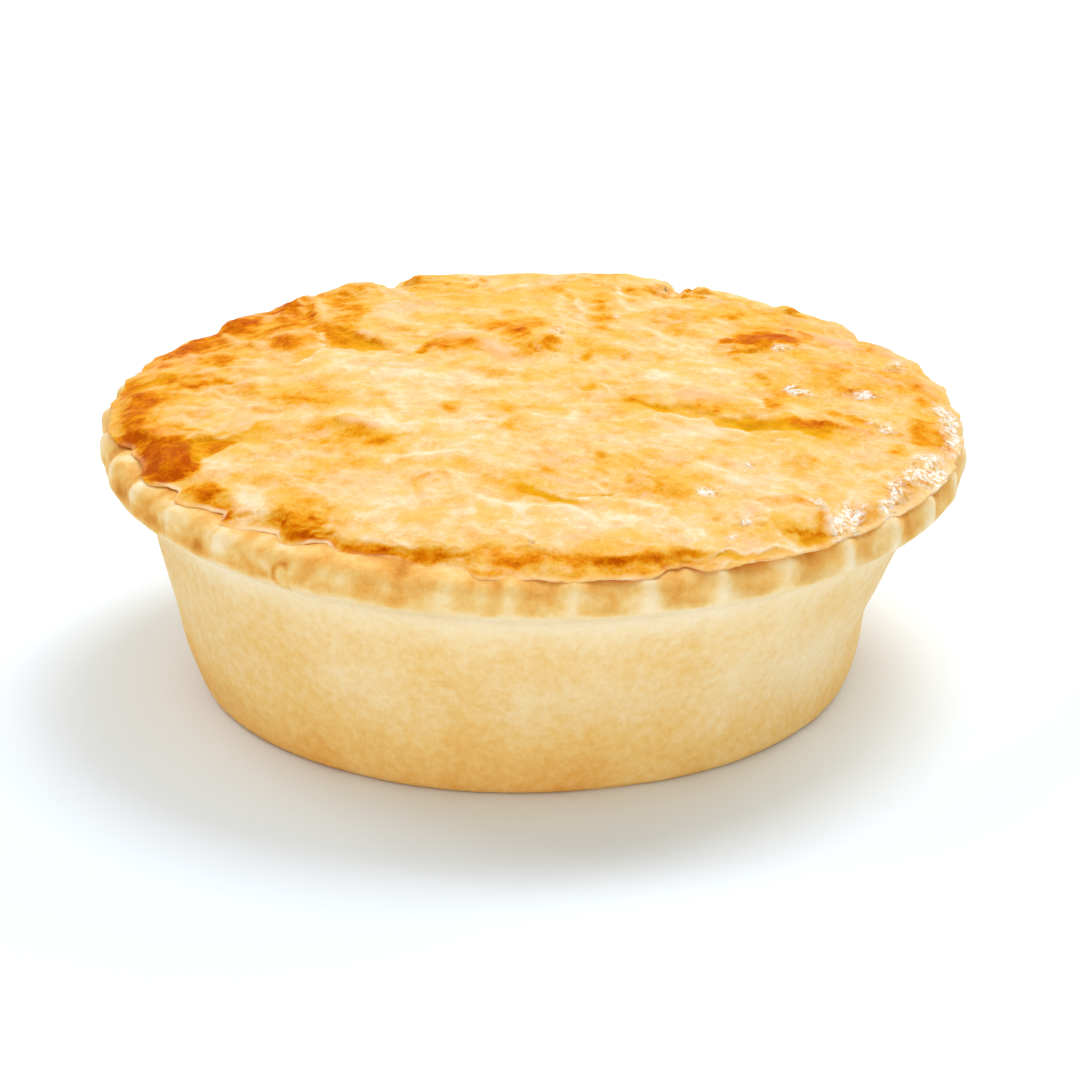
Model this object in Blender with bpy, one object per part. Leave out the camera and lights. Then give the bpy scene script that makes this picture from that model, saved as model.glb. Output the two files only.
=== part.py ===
"""A small round beef pie: a short-crust case with a fluted rim, and a puff lid baked on top of it.

Metres, +Z up, front at -Y. The origin is the middle of the pie at the surface that it rests on.
Angles round the pie are counted from the front towards +X, seen from above.
"""
import math

import bmesh
import bpy
from mathutils import Vector, noise

MM = 0.001

# ---- driving dimensions -------------------------------------------------------------------------
RIM_RADIUS = 0.0574          # over the ribs of the rim
BASE_RADIUS = 0.0436         # the flat that the pie rests on
BASE_SIDE_FLATTENING = 0.0006    # the base is less round at its two sides
BASE_FLATTENING_POWER = 6
BASE_FLATTENING_TOP_Z = 0.0080
CASE_HEIGHT = 0.0345         # the flat top of the case, under the lid
CONTACT_GAP = 0.0003         # between the case and the lid that lies on it
LID_EDGE_RADIUS = 0.0562     # the lid stops just inside the rim
LID_EDGE_RISE = 0.0009       # from the lid's underside to the top of its edge
LID_DOME_RISE = 0.0034       # from the top of the edge to the crown
LID_DOME_POWER = 2.4         # how flat the crown is: 2 is a ball's cap, more is flatter

# The rim sits a little off the base, and it sank on the +X side in the oven.
BASE_SHIFT_X = -0.0011
SHIFT_START_Z = 0.014        # the wall stands square over its base up to here
SHIFT_END_Z = 0.030
WALL_SAG_X = -0.0005         # low on the wall it also bellies out a little on the -X side
WALL_SAG_Z = 0.0095
WALL_SAG_SPREAD = 0.0050
RIM_TILT = -0.013            # height lost for each metre along +X, at the height of the case's top

# The rim is fluted: narrow ribs stand out between round scoops, which also cut into its top.
FLUTE_COUNT = 37
FLUTE_DEPTH = 0.0011
FLUTE_BOTTOM_Z = 0.0285      # the flutes die out here, in the flare under the rim
FLUTE_FULL_Z = 0.0310
RIB_ROUNDING = 0.16          # 0 is a knife edge
SCOOP_TOP_DROP = 0.0009
FLAT_TOP_RADIUS = 0.0540
FLAT_TOP_Z = 0.0330          # only what stands above this drops
FIRST_RIB_ANGLE = math.radians(4.9)
CROWDED_RIBS_ANGLE = math.radians(-13.0)    # the ribs crowd together left of the front
CROWDED_RIBS_SPREAD = math.radians(10.0)
CROWDED_RIBS_SHIFT = math.radians(3.6)

STEPS_PER_FLUTE = 6
LID_GRID_CELLS = 54

# Half section of the case, from the flat base up the wall to the flat top: (radius, height).
CASE_PROFILE = (
    (BASE_RADIUS, 0.0),
    (0.0443, 0.0008),
    (0.0448, 0.0027),
    (0.0455, 0.0060),
    (0.0464, 0.0110),
    (0.0487, 0.0175),
    (0.0509, 0.0245),
    (0.0526, 0.0272),
    (0.0552, 0.0288),
    (0.0570, 0.0302),
    (RIM_RADIUS, 0.0320),
    (0.0572, 0.0338),
    (0.0562, CASE_HEIGHT),
    (FLAT_TOP_RADIUS, CASE_HEIGHT),
)
WALL_UNEVENNESS = 0.00030    # how far the hand-thick wall wanders in and out
WALL_LUMP_SIZE = 0.020

# Relief of the lid, in millimetres and degrees. Each swelling or hollow is an oval mound:
# middle x, middle y, half length, half width, turn of the length from +X, height.
LID_MOUNDS = (
    (0.5, 20.0, 7.5, 4.5, 80, 1.5),        # large glossy blister behind the middle
    (-10.0, 16.5, 6.0, 3.0, 5, 0.9),
    (30.0, 21.0, 6.5, 3.6, 12, 1.3),       # darkest blister, back right
    (29.0, 15.5, 6.0, 2.2, 5, -0.7),
    (-23.0, 11.0, 9.5, 3.2, 4, 0.6),       # pale patch with a crisp upper edge
    (-24.0, 17.5, 6.0, 2.4, -30, -0.9),    # wedge-shaped hollow behind it
    (-31.0, 21.0, 4.0, 3.0, 60, 0.6),
    (-40.0, -16.5, 5.0, 2.2, -8, -1.0),    # shadowed pocket, front left
    (-38.0, -24.5, 7.0, 5.0, -20, 0.7),
    (-47.5, -19.0, 4.0, 5.5, 0, 0.9),      # darkest folded panel at the left edge
    (-50.0, -8.0, 3.5, 5.0, -20, 0.7),
    (-29.0, -40.0, 7.5, 5.0, -65, 0.9),    # orange-brown swelling, front left
    (-41.0, -32.0, 4.5, 4.0, -40, 0.5),
    (-16.0, -47.5, 10.0, 3.4, -6, 0.8),
    (15.0, -50.0, 9.0, 3.0, 8, 0.8),
    (2.0, -48.5, 5.0, 3.0, 0, 0.5),
    (32.5, -40.0, 7.0, 5.0, -50, 0.9),
    (44.0, -28.0, 5.0, 9.0, -25, 0.5),
    (44.0, 8.5, 9.0, 5.0, -12, 0.8),       # long swelling at the right
    (36.5, -10.5, 7.0, 3.4, -12, 0.8),
    (25.0, -5.0, 7.5, 2.8, -14, 0.7),      # upper lip of the ragged crack
    (22.0, -10.5, 9.0, 2.0, -24, -0.7),    # the crack itself
    (-29.0, -2.0, 6.0, 4.0, 10, 0.5),
    (-22.5, -14.5, 4.5, 2.2, -50, 0.8),
    (-22.0, -19.0, 4.0, 2.0, -35, -0.5),
    (-42.0, 16.0, 3.0, 5.0, 0, 0.5),
    (-4.0, -10.0, 4.0, 8.0, 10, 0.5),
    (6.0, -10.0, 3.0, 12.0, 4, -0.4),
    (3.5, -33.0, 6.0, 2.4, -28, 0.5),      # flap over the front slit
    (1.5, -37.0, 5.0, 1.5, -35, -0.5),
    (18.0, -31.0, 6.0, 4.0, 10, 0.5),
    (-12.0, -28.0, 9.0, 5.0, -10, -0.4),
    (14.0, 8.0, 12.0, 6.0, 8, -0.4),
    (-14.0, 49.0, 3.6, 4.5, 0, 1.0),       # scallops of the back edge
    (-18.8, 47.5, 1.8, 6.0, 10, -0.8),
    (-23.5, 46.0, 3.0, 4.5, 20, 0.6),
    (-32.5, 41.5, 3.4, 6.0, 35, 1.3),
    (-40.5, 32.0, 3.0, 4.5, 50, 0.5),
    (-41.0, 29.0, 17.0, 6.0, 55, -0.9),    # the lid droops here, back left
    (-6.0, 50.0, 16.0, 6.0, 5, -0.7),
    (28.0, 43.0, 5.0, 5.0, 0, -0.5),
    (41.0, 35.0, 5.0, 5.0, 0, -0.6),
    (13.0, 47.5, 9.0, 6.0, 0, 1.1),
    (20.5, 46.5, 1.7, 6.0, -14, -1.2),
    (24.0, 46.0, 2.0, 5.0, -20, 0.5),
    (35.5, 39.0, 2.6, 4.0, -40, 1.0),
    (43.0, 30.0, 2.2, 4.5, -50, -0.4),
)

# Dents in the lid's outline: angle, half width in degrees, depth in millimetres.
EDGE_DENTS = (
    (203.0, 2.2, 2.4),       # behind: -20 .. -17 mm along X
    (157.0, 1.8, 3.2),
    (141.0, 2.6, 1.8),
    (123.0, 3.0, 2.2),
    (236.0, 4.0, 1.2),
    (-67.0, 4.0, 1.4),
    (-28.5, 3.0, 1.2),
)
# Stretches where the lid is drawn in from the rim: middle angle, spread, depth in millimetres,
# and the extra depth at the middle of each flute.
EDGE_INSETS = (
    (-47.0, 38.0, 1.1, 1.3),               # front left
    (-128.0, 26.0, 2.2, 0.2),              # back left
    (98.0, 14.0, -0.5, 0.0),               # right, where it bulges instead
)

# Where the lid's edge sank onto the rim: middle angle, spread, how far in millimetres.
EDGE_SETTLED = (
    (60.0, 35.0, 0.40),                    # right
    (183.0, 16.0, 0.35),                   # behind
    (-115.0, 12.0, 0.45),                  # back left
)

SWELL_SIZE = 0.015           # broad unevenness of the lid
SWELL_HEIGHT = 0.00045
RIPPLE_SIZE = 0.0065         # finer unevenness
RIPPLE_HEIGHT = 0.00022

# Base colours, in linear light.
CASE_COLOUR = (0.87, 0.64, 0.34, 1.0)
LID_COLOUR = (0.86, 0.50, 0.14, 1.0)


def clear_scene():
    for obj in list(bpy.data.objects):
        bpy.data.objects.remove(obj, do_unlink=True)


def crust_material(name, colour, roughness):
    material = bpy.data.materials.new(name)
    material.use_nodes = True
    shader = material.node_tree.nodes["Principled BSDF"]
    shader.inputs["Base Color"].default_value = colour
    shader.inputs["Roughness"].default_value = roughness
    shader.inputs["Metallic"].default_value = 0.0
    return material


def smooth_step(low, high, value):
    t = min(max((value - low) / (high - low), 0.0), 1.0)
    return t * t * (3.0 - 2.0 * t)


def wrapped(angle):
    """The angle between -180 and 180 degrees."""
    return (angle + math.pi) % (2.0 * math.pi) - math.pi


def bell(distance, spread):
    return math.exp(-((distance / spread) ** 2))


def crowding(angle):
    """How far the ribs near this angle are pushed round the rim."""
    return CROWDED_RIBS_SHIFT * bell(wrapped(angle - CROWDED_RIBS_ANGLE), CROWDED_RIBS_SPREAD)


def scoop_depth(phase):
    """0 on the crest of a rib, 1 in the middle of a scoop; phase counts flutes."""
    away = 2.0 * abs(phase - round(phase))
    away = (math.hypot(away, RIB_ROUNDING) - RIB_ROUNDING) / (math.hypot(1.0, RIB_ROUNDING) - RIB_ROUNDING)
    return 1.0 - (1.0 - away) ** 2


def flute_phase(angle):
    """Which flute the angle falls in, counted in flutes from the first rib."""
    return (angle - crowding(angle) - FIRST_RIB_ANGLE) * FLUTE_COUNT / (2.0 * math.pi)


def tilted(x, y, z):
    """The place of a point once the rim has sunk on one side."""
    return Vector((x, y, z + RIM_TILT * x * z / CASE_HEIGHT))


def finish(name, bm, material):
    """Turn a bmesh into a smooth-shaded object with its faces outward."""
    bmesh.ops.recalc_face_normals(bm, faces=bm.faces)
    mesh = bpy.data.meshes.new(name)
    bm.to_mesh(mesh)
    bm.free()
    mesh.materials.append(material)
    mesh.shade_smooth()
    mesh.set_sharp_from_angle(angle=math.radians(50))
    obj = bpy.data.objects.new(name, mesh)
    bpy.context.collection.objects.link(obj)
    return obj


# ---- the case -----------------------------------------------------------------------------------
def shape_case_point(point, ring_phase):
    """Move a point of the plain turned case to its place on the fluted, uneven one."""
    radius = math.hypot(point.x, point.y)
    height = point.z
    angle = FIRST_RIB_ANGLE + 2.0 * math.pi * ring_phase / FLUTE_COUNT
    angle += crowding(angle)
    scoop = scoop_depth(ring_phase)
    if height > FLAT_TOP_Z:
        height -= SCOOP_TOP_DROP * scoop * smooth_step(FLAT_TOP_RADIUS, RIM_RADIUS, radius)
    radius -= FLUTE_DEPTH * scoop * smooth_step(FLUTE_BOTTOM_Z, FLUTE_FULL_Z, height)
    if 0.0 < height < CASE_HEIGHT:
        spot = Vector((math.sin(angle) * radius, -math.cos(angle) * radius, height))
        radius += WALL_UNEVENNESS * noise.noise(spot / WALL_LUMP_SIZE)
    low = 1.0 - smooth_step(0.0, BASE_FLATTENING_TOP_Z, height)
    radius -= BASE_SIDE_FLATTENING * low * math.sin(angle) ** BASE_FLATTENING_POWER
    shift = BASE_SHIFT_X * (1.0 - smooth_step(SHIFT_START_Z, SHIFT_END_Z, height))
    if height > 0.0:
        shift += WALL_SAG_X * bell(height - WALL_SAG_Z, WALL_SAG_SPREAD)
    return tilted(math.sin(angle) * radius + shift, -math.cos(angle) * radius, height)


def make_case():
    steps = FLUTE_COUNT * STEPS_PER_FLUTE
    bm = bmesh.new()
    line = [bm.verts.new((0.0, -radius, height)) for radius, height in CASE_PROFILE]
    edges = [bm.edges.new(pair) for pair in zip(line, line[1:])]
    bmesh.ops.spin(
        bm,
        geom=line + edges,
        cent=(0.0, 0.0, 0.0),
        axis=(0.0, 0.0, 1.0),
        angle=2.0 * math.pi,
        steps=steps,
        use_merge=True,
    )
    rims = [edge for edge in bm.edges if edge.is_boundary]
    bmesh.ops.holes_fill(bm, edges=rims, sides=0)
    for vert in bm.verts:
        around = math.atan2(vert.co.x, -vert.co.y) / (2.0 * math.pi) * steps
        vert.co = shape_case_point(vert.co, round(around) / STEPS_PER_FLUTE)
    return finish("pastry_case", bm, crust_material("baked_short_crust", CASE_COLOUR, 0.62))


# ---- the lid ------------------------------------------------------------------------------------
def lid_edge_radius(angle):
    """Outline of the lid: it follows the flutes, with dents and a drawn-in stretch."""
    scoop = scoop_depth(flute_phase(angle))
    radius = LID_EDGE_RADIUS - 0.6 * FLUTE_DEPTH * scoop
    for middle, spread, depth, extra in EDGE_INSETS:
        share = bell(wrapped(angle - math.radians(middle)), math.radians(spread))
        radius -= share * (depth + extra * scoop) * MM
    for dent_angle, half_width, depth in EDGE_DENTS:
        away = wrapped(angle - math.radians(dent_angle))
        radius -= depth * MM * bell(away, math.radians(half_width))
    return radius


def mound_relief(x, y):
    """Height that the listed swellings and hollows add at a place on the lid."""
    height = 0.0
    for middle_x, middle_y, length, width, turn, rise in LID_MOUNDS:
        c = math.cos(math.radians(turn))
        s = math.sin(math.radians(turn))
        along = ((x / MM - middle_x) * c + (y / MM - middle_y) * s) / length
        across = ((y / MM - middle_y) * c - (x / MM - middle_x) * s) / width
        height += rise * MM * bell(math.hypot(along, across), 1.0)
    return height


def edge_settling(angle):
    """How far the lid's edge sank at this angle."""
    return sum(
        depth * MM * bell(wrapped(angle - math.radians(middle)), math.radians(spread))
        for middle, spread, depth in EDGE_SETTLED
    )


def lid_height(x, y, angle, share):
    """Height of the lid's top at a place, share being 0 at the crown and 1 at the edge."""
    dome = LID_DOME_RISE * (1.0 - share ** LID_DOME_POWER) - edge_settling(angle) * share ** 4
    relief = mound_relief(x, y)
    relief += SWELL_HEIGHT * noise.noise(Vector((x, y, 0.0)) / SWELL_SIZE)
    relief += RIPPLE_HEIGHT * noise.noise(Vector((x, y, 0.05)) / RIPPLE_SIZE)
    edge_calm = 1.0 - 0.75 * smooth_step(0.93, 1.0, share)
    return CASE_HEIGHT + CONTACT_GAP + LID_EDGE_RISE + dome + relief * edge_calm


def shape_lid_point(u, v):
    """Ease a square sheet out to the lid's round outline; u and v run from -1 to 1."""
    a = math.sqrt(2.0) * math.sin(math.pi * u / 4.0) * math.cos(math.pi * v / 4.0)
    b = math.sqrt(2.0) * math.sin(math.pi * v / 4.0) * math.cos(math.pi * u / 4.0)
    share = min(math.hypot(a, b), 1.0)
    angle = math.atan2(a, -b)
    # Only the outer part of the sheet follows the uneven outline.
    uneven = lid_edge_radius(angle) - LID_EDGE_RADIUS
    radius = share * (LID_EDGE_RADIUS + uneven * share ** 6)
    x = math.sin(angle) * radius
    y = -math.cos(angle) * radius
    return tilted(x, y, lid_height(x, y, angle, share))


def drop_edge(bm, loop, inward, height):
    """Extrude the lid's rim down to a height, moved inward, and return the new rim."""
    new = bmesh.ops.extrude_edge_only(bm, edges=loop)["geom"]
    for vert in [item for item in new if isinstance(item, bmesh.types.BMVert)]:
        radius = math.hypot(vert.co.x, vert.co.y)
        scale = (radius - inward) / radius
        x = vert.co.x * scale
        y = vert.co.y * scale
        vert.co = tilted(x, y, height)
    return [item for item in new if isinstance(item, bmesh.types.BMEdge) and item.is_boundary]


def make_lid():
    bm = bmesh.new()
    bmesh.ops.create_grid(bm, x_segments=LID_GRID_CELLS, y_segments=LID_GRID_CELLS, size=1.0)
    for vert in bm.verts:
        vert.co = shape_lid_point(vert.co.x, vert.co.y)
    underside = CASE_HEIGHT + CONTACT_GAP
    loop = [edge for edge in bm.edges if edge.is_boundary]
    loop = drop_edge(bm, loop, -0.0003, underside + 0.3 * LID_EDGE_RISE)
    loop = drop_edge(bm, loop, 0.0005, underside)
    bmesh.ops.holes_fill(bm, edges=loop, sides=0)
    return finish("puff_lid", bm, crust_material("glazed_puff_crust", LID_COLOUR, 0.38))


clear_scene()
make_case()
make_lid()
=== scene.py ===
"""The looks of a small round beef pie: a short-crust case with a fluted rim under a glazed puff lid.

Metres, +Z up, the front at -Y. Angles round the pie are counted from the front towards +X, seen from
above. Inside the sections on the pastry, places and heights are in millimetres.
"""

import math

import bmesh
import bpy
import numpy as np
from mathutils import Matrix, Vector, noise


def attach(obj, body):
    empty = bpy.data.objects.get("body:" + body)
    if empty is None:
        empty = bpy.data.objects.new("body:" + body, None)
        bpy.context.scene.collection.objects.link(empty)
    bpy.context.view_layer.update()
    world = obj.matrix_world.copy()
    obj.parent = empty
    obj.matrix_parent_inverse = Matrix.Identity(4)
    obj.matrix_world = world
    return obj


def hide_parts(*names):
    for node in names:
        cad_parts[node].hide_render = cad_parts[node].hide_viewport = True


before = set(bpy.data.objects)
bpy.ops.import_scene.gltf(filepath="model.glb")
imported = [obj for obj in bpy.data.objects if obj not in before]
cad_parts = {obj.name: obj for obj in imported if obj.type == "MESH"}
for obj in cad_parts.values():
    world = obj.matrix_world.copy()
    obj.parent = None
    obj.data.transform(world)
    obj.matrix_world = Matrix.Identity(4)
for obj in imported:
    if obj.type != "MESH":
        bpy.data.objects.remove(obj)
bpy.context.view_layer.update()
scene = bpy.context.scene

# ---- the camera ---------------------------------------------------------------------------------
# A long lens on a stand in front of the pie, looking down on it at 22 degrees, so that the lid shows
# as a wide oval above the plain wall. The pie stands a little above and left of the picture's middle.
PICTURE_SIZE = 1080.0
PIE_MIDDLE_IN_PICTURE = (532.7, 519.0)          # where the middle of the pie lands, in pixels
PIE_MIDDLE = Vector((0.0, 0.0, 0.0201))
CAMERA_DISTANCE = 0.690
CAMERA_ELEVATION = math.radians(22.0)
SENSOR_WIDTH = 36.0
FOCAL_LENGTH = 172.3

lens = bpy.data.cameras.new("studio_lens")
lens.sensor_width = SENSOR_WIDTH
lens.lens = FOCAL_LENGTH
lens.shift_x = 0.5 - PIE_MIDDLE_IN_PICTURE[0] / PICTURE_SIZE
lens.shift_y = PIE_MIDDLE_IN_PICTURE[1] / PICTURE_SIZE - 0.5
camera = bpy.data.objects.new("studio_camera", lens)
camera.rotation_euler = (math.pi / 2 - CAMERA_ELEVATION, 0.0, 0.0)
away_from_pie = Vector((0.0, -math.cos(CAMERA_ELEVATION), math.sin(CAMERA_ELEVATION)))
camera.location = PIE_MIDDLE + CAMERA_DISTANCE * away_from_pie
scene.collection.objects.link(camera)
scene.camera = camera

# ---- the worktop and the light ------------------------------------------------------------------
# A plain white worktop in a white studio. A broad soft box hangs over the pie, a second one stands at
# its left, a lower one behind it on the right skims the lid and gives it its shine, and a long low one
# in front lights the wall.
WORKTOP_SIZE = 6.0
WORKTOP_COLOUR = (0.85, 0.92, 1.0, 1.0)
WORKTOP_ROUGHNESS = 0.8
STUDIO_BRIGHTNESS = 0.57

scene.view_settings.view_transform = "Standard"
studio = bpy.data.worlds.new("white_studio")
studio.use_nodes = True
studio.node_tree.nodes["Background"].inputs["Color"].default_value = (1.0, 1.0, 1.0, 1.0)
studio.node_tree.nodes["Background"].inputs["Strength"].default_value = STUDIO_BRIGHTNESS
scene.world = studio

bm = bmesh.new()
bmesh.ops.create_grid(bm, x_segments=1, y_segments=1, size=WORKTOP_SIZE / 2)
worktop_mesh = bpy.data.meshes.new("worktop")
bm.to_mesh(worktop_mesh)
bm.free()
worktop = bpy.data.objects.new("worktop", worktop_mesh)
scene.collection.objects.link(worktop)
worktop_paint = bpy.data.materials.new("white_worktop")
worktop_paint.use_nodes = True
paint_shader = worktop_paint.node_tree.nodes["Principled BSDF"]
paint_shader.inputs["Base Color"].default_value = WORKTOP_COLOUR
paint_shader.inputs["Roughness"].default_value = WORKTOP_ROUGHNESS
paint_shader.inputs["Specular IOR Level"].default_value = 0.0
worktop_mesh.materials.append(worktop_paint)


def soft_lamp(name, azimuth, elevation, distance, width, height, power):
    """A soft box aimed at the pie. Azimuth is counted from behind the pie towards +X."""
    lamp = bpy.data.lights.new(name, "AREA")
    lamp.shape = "RECTANGLE"
    lamp.size = width
    lamp.size_y = height
    lamp.energy = power
    stand = bpy.data.objects.new(name, lamp)
    around = math.radians(azimuth)
    up = math.radians(elevation)
    direction = Vector((math.sin(around) * math.cos(up), math.cos(around) * math.cos(up), math.sin(up)))
    stand.location = PIE_MIDDLE + distance * direction
    stand.rotation_euler = direction.to_track_quat("Z", "Y").to_euler()
    scene.collection.objects.link(stand)


soft_lamp("top_lamp", azimuth=33.0, elevation=66.0, distance=1.1, width=0.5, height=0.5, power=5.4)
soft_lamp("side_lamp", azimuth=-62.0, elevation=50.0, distance=1.1, width=0.5, height=0.5, power=3.0)
soft_lamp("back_lamp", azimuth=42.0, elevation=34.0, distance=1.0, width=0.4, height=0.4, power=2.4)
soft_lamp("front_lamp", azimuth=186.0, elevation=3.6, distance=1.2, width=2.4, height=0.14, power=5.7)

# ---- the short-crust case -----------------------------------------------------------------------
# A thick cup of short-crust pastry, baked in a small fluted tin. The wall is plain and floury, it
# leans out to a flared rim, and the tin's flutes leave narrow ribs between shallow scoops there.
MM = 0.001
RIM_RADIUS = 57.4
BASE_RADIUS = 43.6
BASE_SIDE_FLATTENING = 0.6
BASE_FLATTENING_POWER = 6
BASE_FLATTENING_TOP_Z = 8.0
CASE_HEIGHT = 34.5
CONTACT_GAP = 0.3
BASE_SHIFT_X = -1.1                 # the base sits a little off the rim
SHIFT_START_Z = 14.0
SHIFT_END_Z = 30.0
WALL_SAG_X = -0.5
WALL_SAG_Z = 9.5
WALL_SAG_SPREAD = 5.0
RIM_TILT = -0.013                   # the +X side sank: height lost for each millimetre along X
RIM_CORNER_Z = 33.8
FLUTE_COUNT = 37
FLUTE_DEPTH = 1.1
FLUTE_BOTTOM_Z = 29.8
FLUTE_FULL_Z = 31.4
RIB_ROUNDING = 0.16
SCOOP_TOP_DROP = 0.9
TOP_DROP_START_Z = 32.0
FLAT_TOP_RADIUS = 54.0
FIRST_RIB_ANGLE = math.radians(4.9)
STEPS_PER_FLUTE = 24
PROFILE_SPACING = 0.6

# Stretches of the rim and the wall: middle angle and spread in degrees, and how much.
CROWDED_RIBS = ((-13.0, 10.0, math.radians(3.6)),)
WORN_RIBS = ((-20.0, 34.0, 0.55),)
SUNK_RIM = ((-130.0, 32.0, 0.9),)
SHELTERED_RIM = ((-58.0, 38.0, 1.0),)
SMEARED_RIM = ((-21.0, 13.0, 0.14),)
PALE_WALL = ((52.0, 28.0, 0.16),)

# Half section of the case from the base up the wall to the flat top: (radius, height).
CASE_PROFILE = (
    (BASE_RADIUS - 0.6, 0.0),
    (BASE_RADIUS - 0.1, 0.15),
    (44.2, 0.9),
    (44.8, 2.7),
    (45.5, 6.0),
    (46.4, 11.0),
    (48.7, 17.5),
    (50.9, 24.5),
    (52.6, 27.2),
    (55.2, 28.8),
    (57.0, 30.2),
    (RIM_RADIUS, 32.0),
    (57.2, RIM_CORNER_Z),
    (56.2, CASE_HEIGHT),
    (FLAT_TOP_RADIUS, CASE_HEIGHT),
    (49.0, CASE_HEIGHT),
)
# Depth and size of the wall's bulges, its puckers and its grain.
WALL_UNEVENNESS = ((0.30, 20.0), (0.10, 5.0), (0.06, 1.6))

# How much browner each place is, on a scale from floury at 0 to dark at 1. The scoops baked golden, with
# painted shade darkening the left of each on the right-hand side; the ribs are paler, and painted light
# brightens the band under the rim.
WALL_TOAST = 0.38
RIM_BAND_Z = (29.9, 31.0)           # where the rim's colour begins, and where it is full
RIM_TOAST = 0.18
SCOOP_TOAST = 0.22
RIB_TOAST = -0.28
SCOOP_LEFT_TOAST = 0.20
# Darker towards the foot of the wall.
FOOT_TOAST = 0.26
FOOT_TOP_Z = 15.0
# Painted light: the band under the rim's flare is coloured paler.
UNDER_RIM_TOAST = -0.30
UNDER_RIM_Z = 27.5
UNDER_RIM_SPREAD = 3.6
RIM_MOTTLING = 0.30
RIM_MOTTLE_SIZE = 2.6
PALE_WALL_TOP_Z = (10.0, 26.0)
SHELTERED_LINE_TOAST = 0.26
SHELTERED_LINE_Z = 30.9
SHELTERED_TOP_TOAST = -0.12
SHELTERED_TOP_Z = (31.4, 33.6)
SHELTERED_MOTTLING = 0.20
SHELTERED_MOTTLE_SIZE = 1.1
SMEAR_Z = (31.0, 34.0)
SMEAR_SIZE = 3.4

# Gravy left a small curved stain on the rim at the front left.
STAIN_ANGLE = math.radians(-33.0)
STAIN_Z = 31.3
STAIN_WIDTH = 1.3
STAIN_HEIGHT = 1.7
STAIN_LINE = 0.28
STAIN_END = 0.7
STAIN_TOAST = 0.42

SHORT_CRUST_COLOURS = (
    (0.00, 0.95, 0.79, 0.53),
    (0.25, 0.90, 0.69, 0.37),
    (0.50, 0.86, 0.55, 0.180),
    (0.75, 0.80, 0.39, 0.075),
    (1.00, 0.62, 0.22, 0.02),
)
SHORT_CRUST_ROUGHNESS = 0.62
SHORT_CRUST_SHINE = 0.10


def smooth_step(low, high, value):
    """0 below the low value, 1 above the high one, and a soft rise between them."""
    t = np.clip((value - low) / (high - low), 0.0, 1.0)
    return t * t * (3.0 - 2.0 * t)


def bell(distance, spread):
    """1 where the distance is 0, fading out on both sides of it."""
    return np.exp(-((distance / spread) ** 2))


def wrapped(angle):
    """The angle between -180 and 180 degrees."""
    return (angle + math.pi) % (2.0 * math.pi) - math.pi


def around_the_pie(angle, rows):
    """The sum, at each angle, of stretches with a middle and a spread in degrees, and how much."""
    return sum(
        amount * bell(wrapped(angle - math.radians(middle)), math.radians(spread))
        for middle, spread, amount in rows
    )


def lumps(x, y, z, size):
    """Soft random unevenness, about -1 to 1, with lumps of this size in millimetres."""
    places = np.broadcast_arrays(x / size, y / size, z / size)
    return np.array([noise.noise(place) for place in zip(*places)])


def scoop_depth(phase):
    """0 on the crest of a rib, 1 in the middle of a scoop; phase counts flutes."""
    away = 2.0 * np.abs(phase - np.round(phase))
    away = (np.hypot(away, RIB_ROUNDING) - RIB_ROUNDING) / (math.hypot(1.0, RIB_ROUNDING) - RIB_ROUNDING)
    return 1.0 - (1.0 - away) ** 2


def tilted(x, y, z):
    """The place of a point, in metres, once the rim has sunk on one side."""
    return np.stack((x, y, z + RIM_TILT * x * z / CASE_HEIGHT), axis=1) * MM


def smooth_line(points, spacing):
    """A soft curve through the points, cut into pieces of about this length."""
    ends = (points[0],) + tuple(points) + (points[-1],)
    line = []
    for before, start, stop, after in zip(ends, ends[1:], ends[2:], ends[3:]):
        before, start, stop, after = (np.array(point) for point in (before, start, stop, after))
        pieces = max(2, round(math.dist(start, stop) / spacing))
        for t in np.arange(pieces) / pieces:
            line.append(
                start
                + 0.5 * t * (stop - before)
                + t * t * (before - 2.5 * start + 2.0 * stop - 0.5 * after)
                + t ** 3 * (1.5 * start - 0.5 * before - 1.5 * stop + 0.5 * after)
            )
    return line + [np.array(points[-1])]


def vertex_places(bm):
    return np.array([vert.co for vert in bm.verts])


def move_vertices(bm, places):
    for vert, place in zip(bm.verts, places):
        vert.co = place


def finish_piece(name, bm, material, **marks):
    """Make the object, smooth all over, with a value for each vertex under each mark's name."""
    bmesh.ops.recalc_face_normals(bm, faces=bm.faces)
    mesh = bpy.data.meshes.new(name)
    bm.to_mesh(mesh)
    bm.free()
    mesh.shade_smooth()
    mesh.materials.append(material)
    for mark_name, values in marks.items():
        column = mesh.attributes.new(mark_name, "FLOAT", "POINT")
        column.data.foreach_set("value", np.asarray(values, dtype=np.float32))
    piece = bpy.data.objects.new(name, mesh)
    scene.collection.objects.link(piece)
    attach(piece, "root")
    return piece


def node(material, kind, **settings):
    """Add a shader node with these properties."""
    made = material.node_tree.nodes.new(kind)
    for name, value in settings.items():
        setattr(made, name, value)
    return made


def feed(material, target, **sources):
    """Fill a node's inputs: from another node's output where that is given, else with a value."""
    for name, source in sources.items():
        socket = target.inputs[int(name[1:]) if name[1:].isdigit() else name.replace("_", " ")]
        if isinstance(source, bpy.types.NodeSocket):
            material.node_tree.links.new(source, socket)
        else:
            socket.default_value = source
    return target


def pattern(material, size, detail, roughness=0.5):
    """Random mottling, 0 to 1, with spots of this size in millimetres."""
    place = node(material, "ShaderNodeTexCoord").outputs["Object"]
    mottle = node(material, "ShaderNodeTexNoise")
    feed(material, mottle, Vector=place, Scale=1.0 / (size * MM), Detail=detail, Roughness=roughness)
    return mottle.outputs["Fac"]


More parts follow.
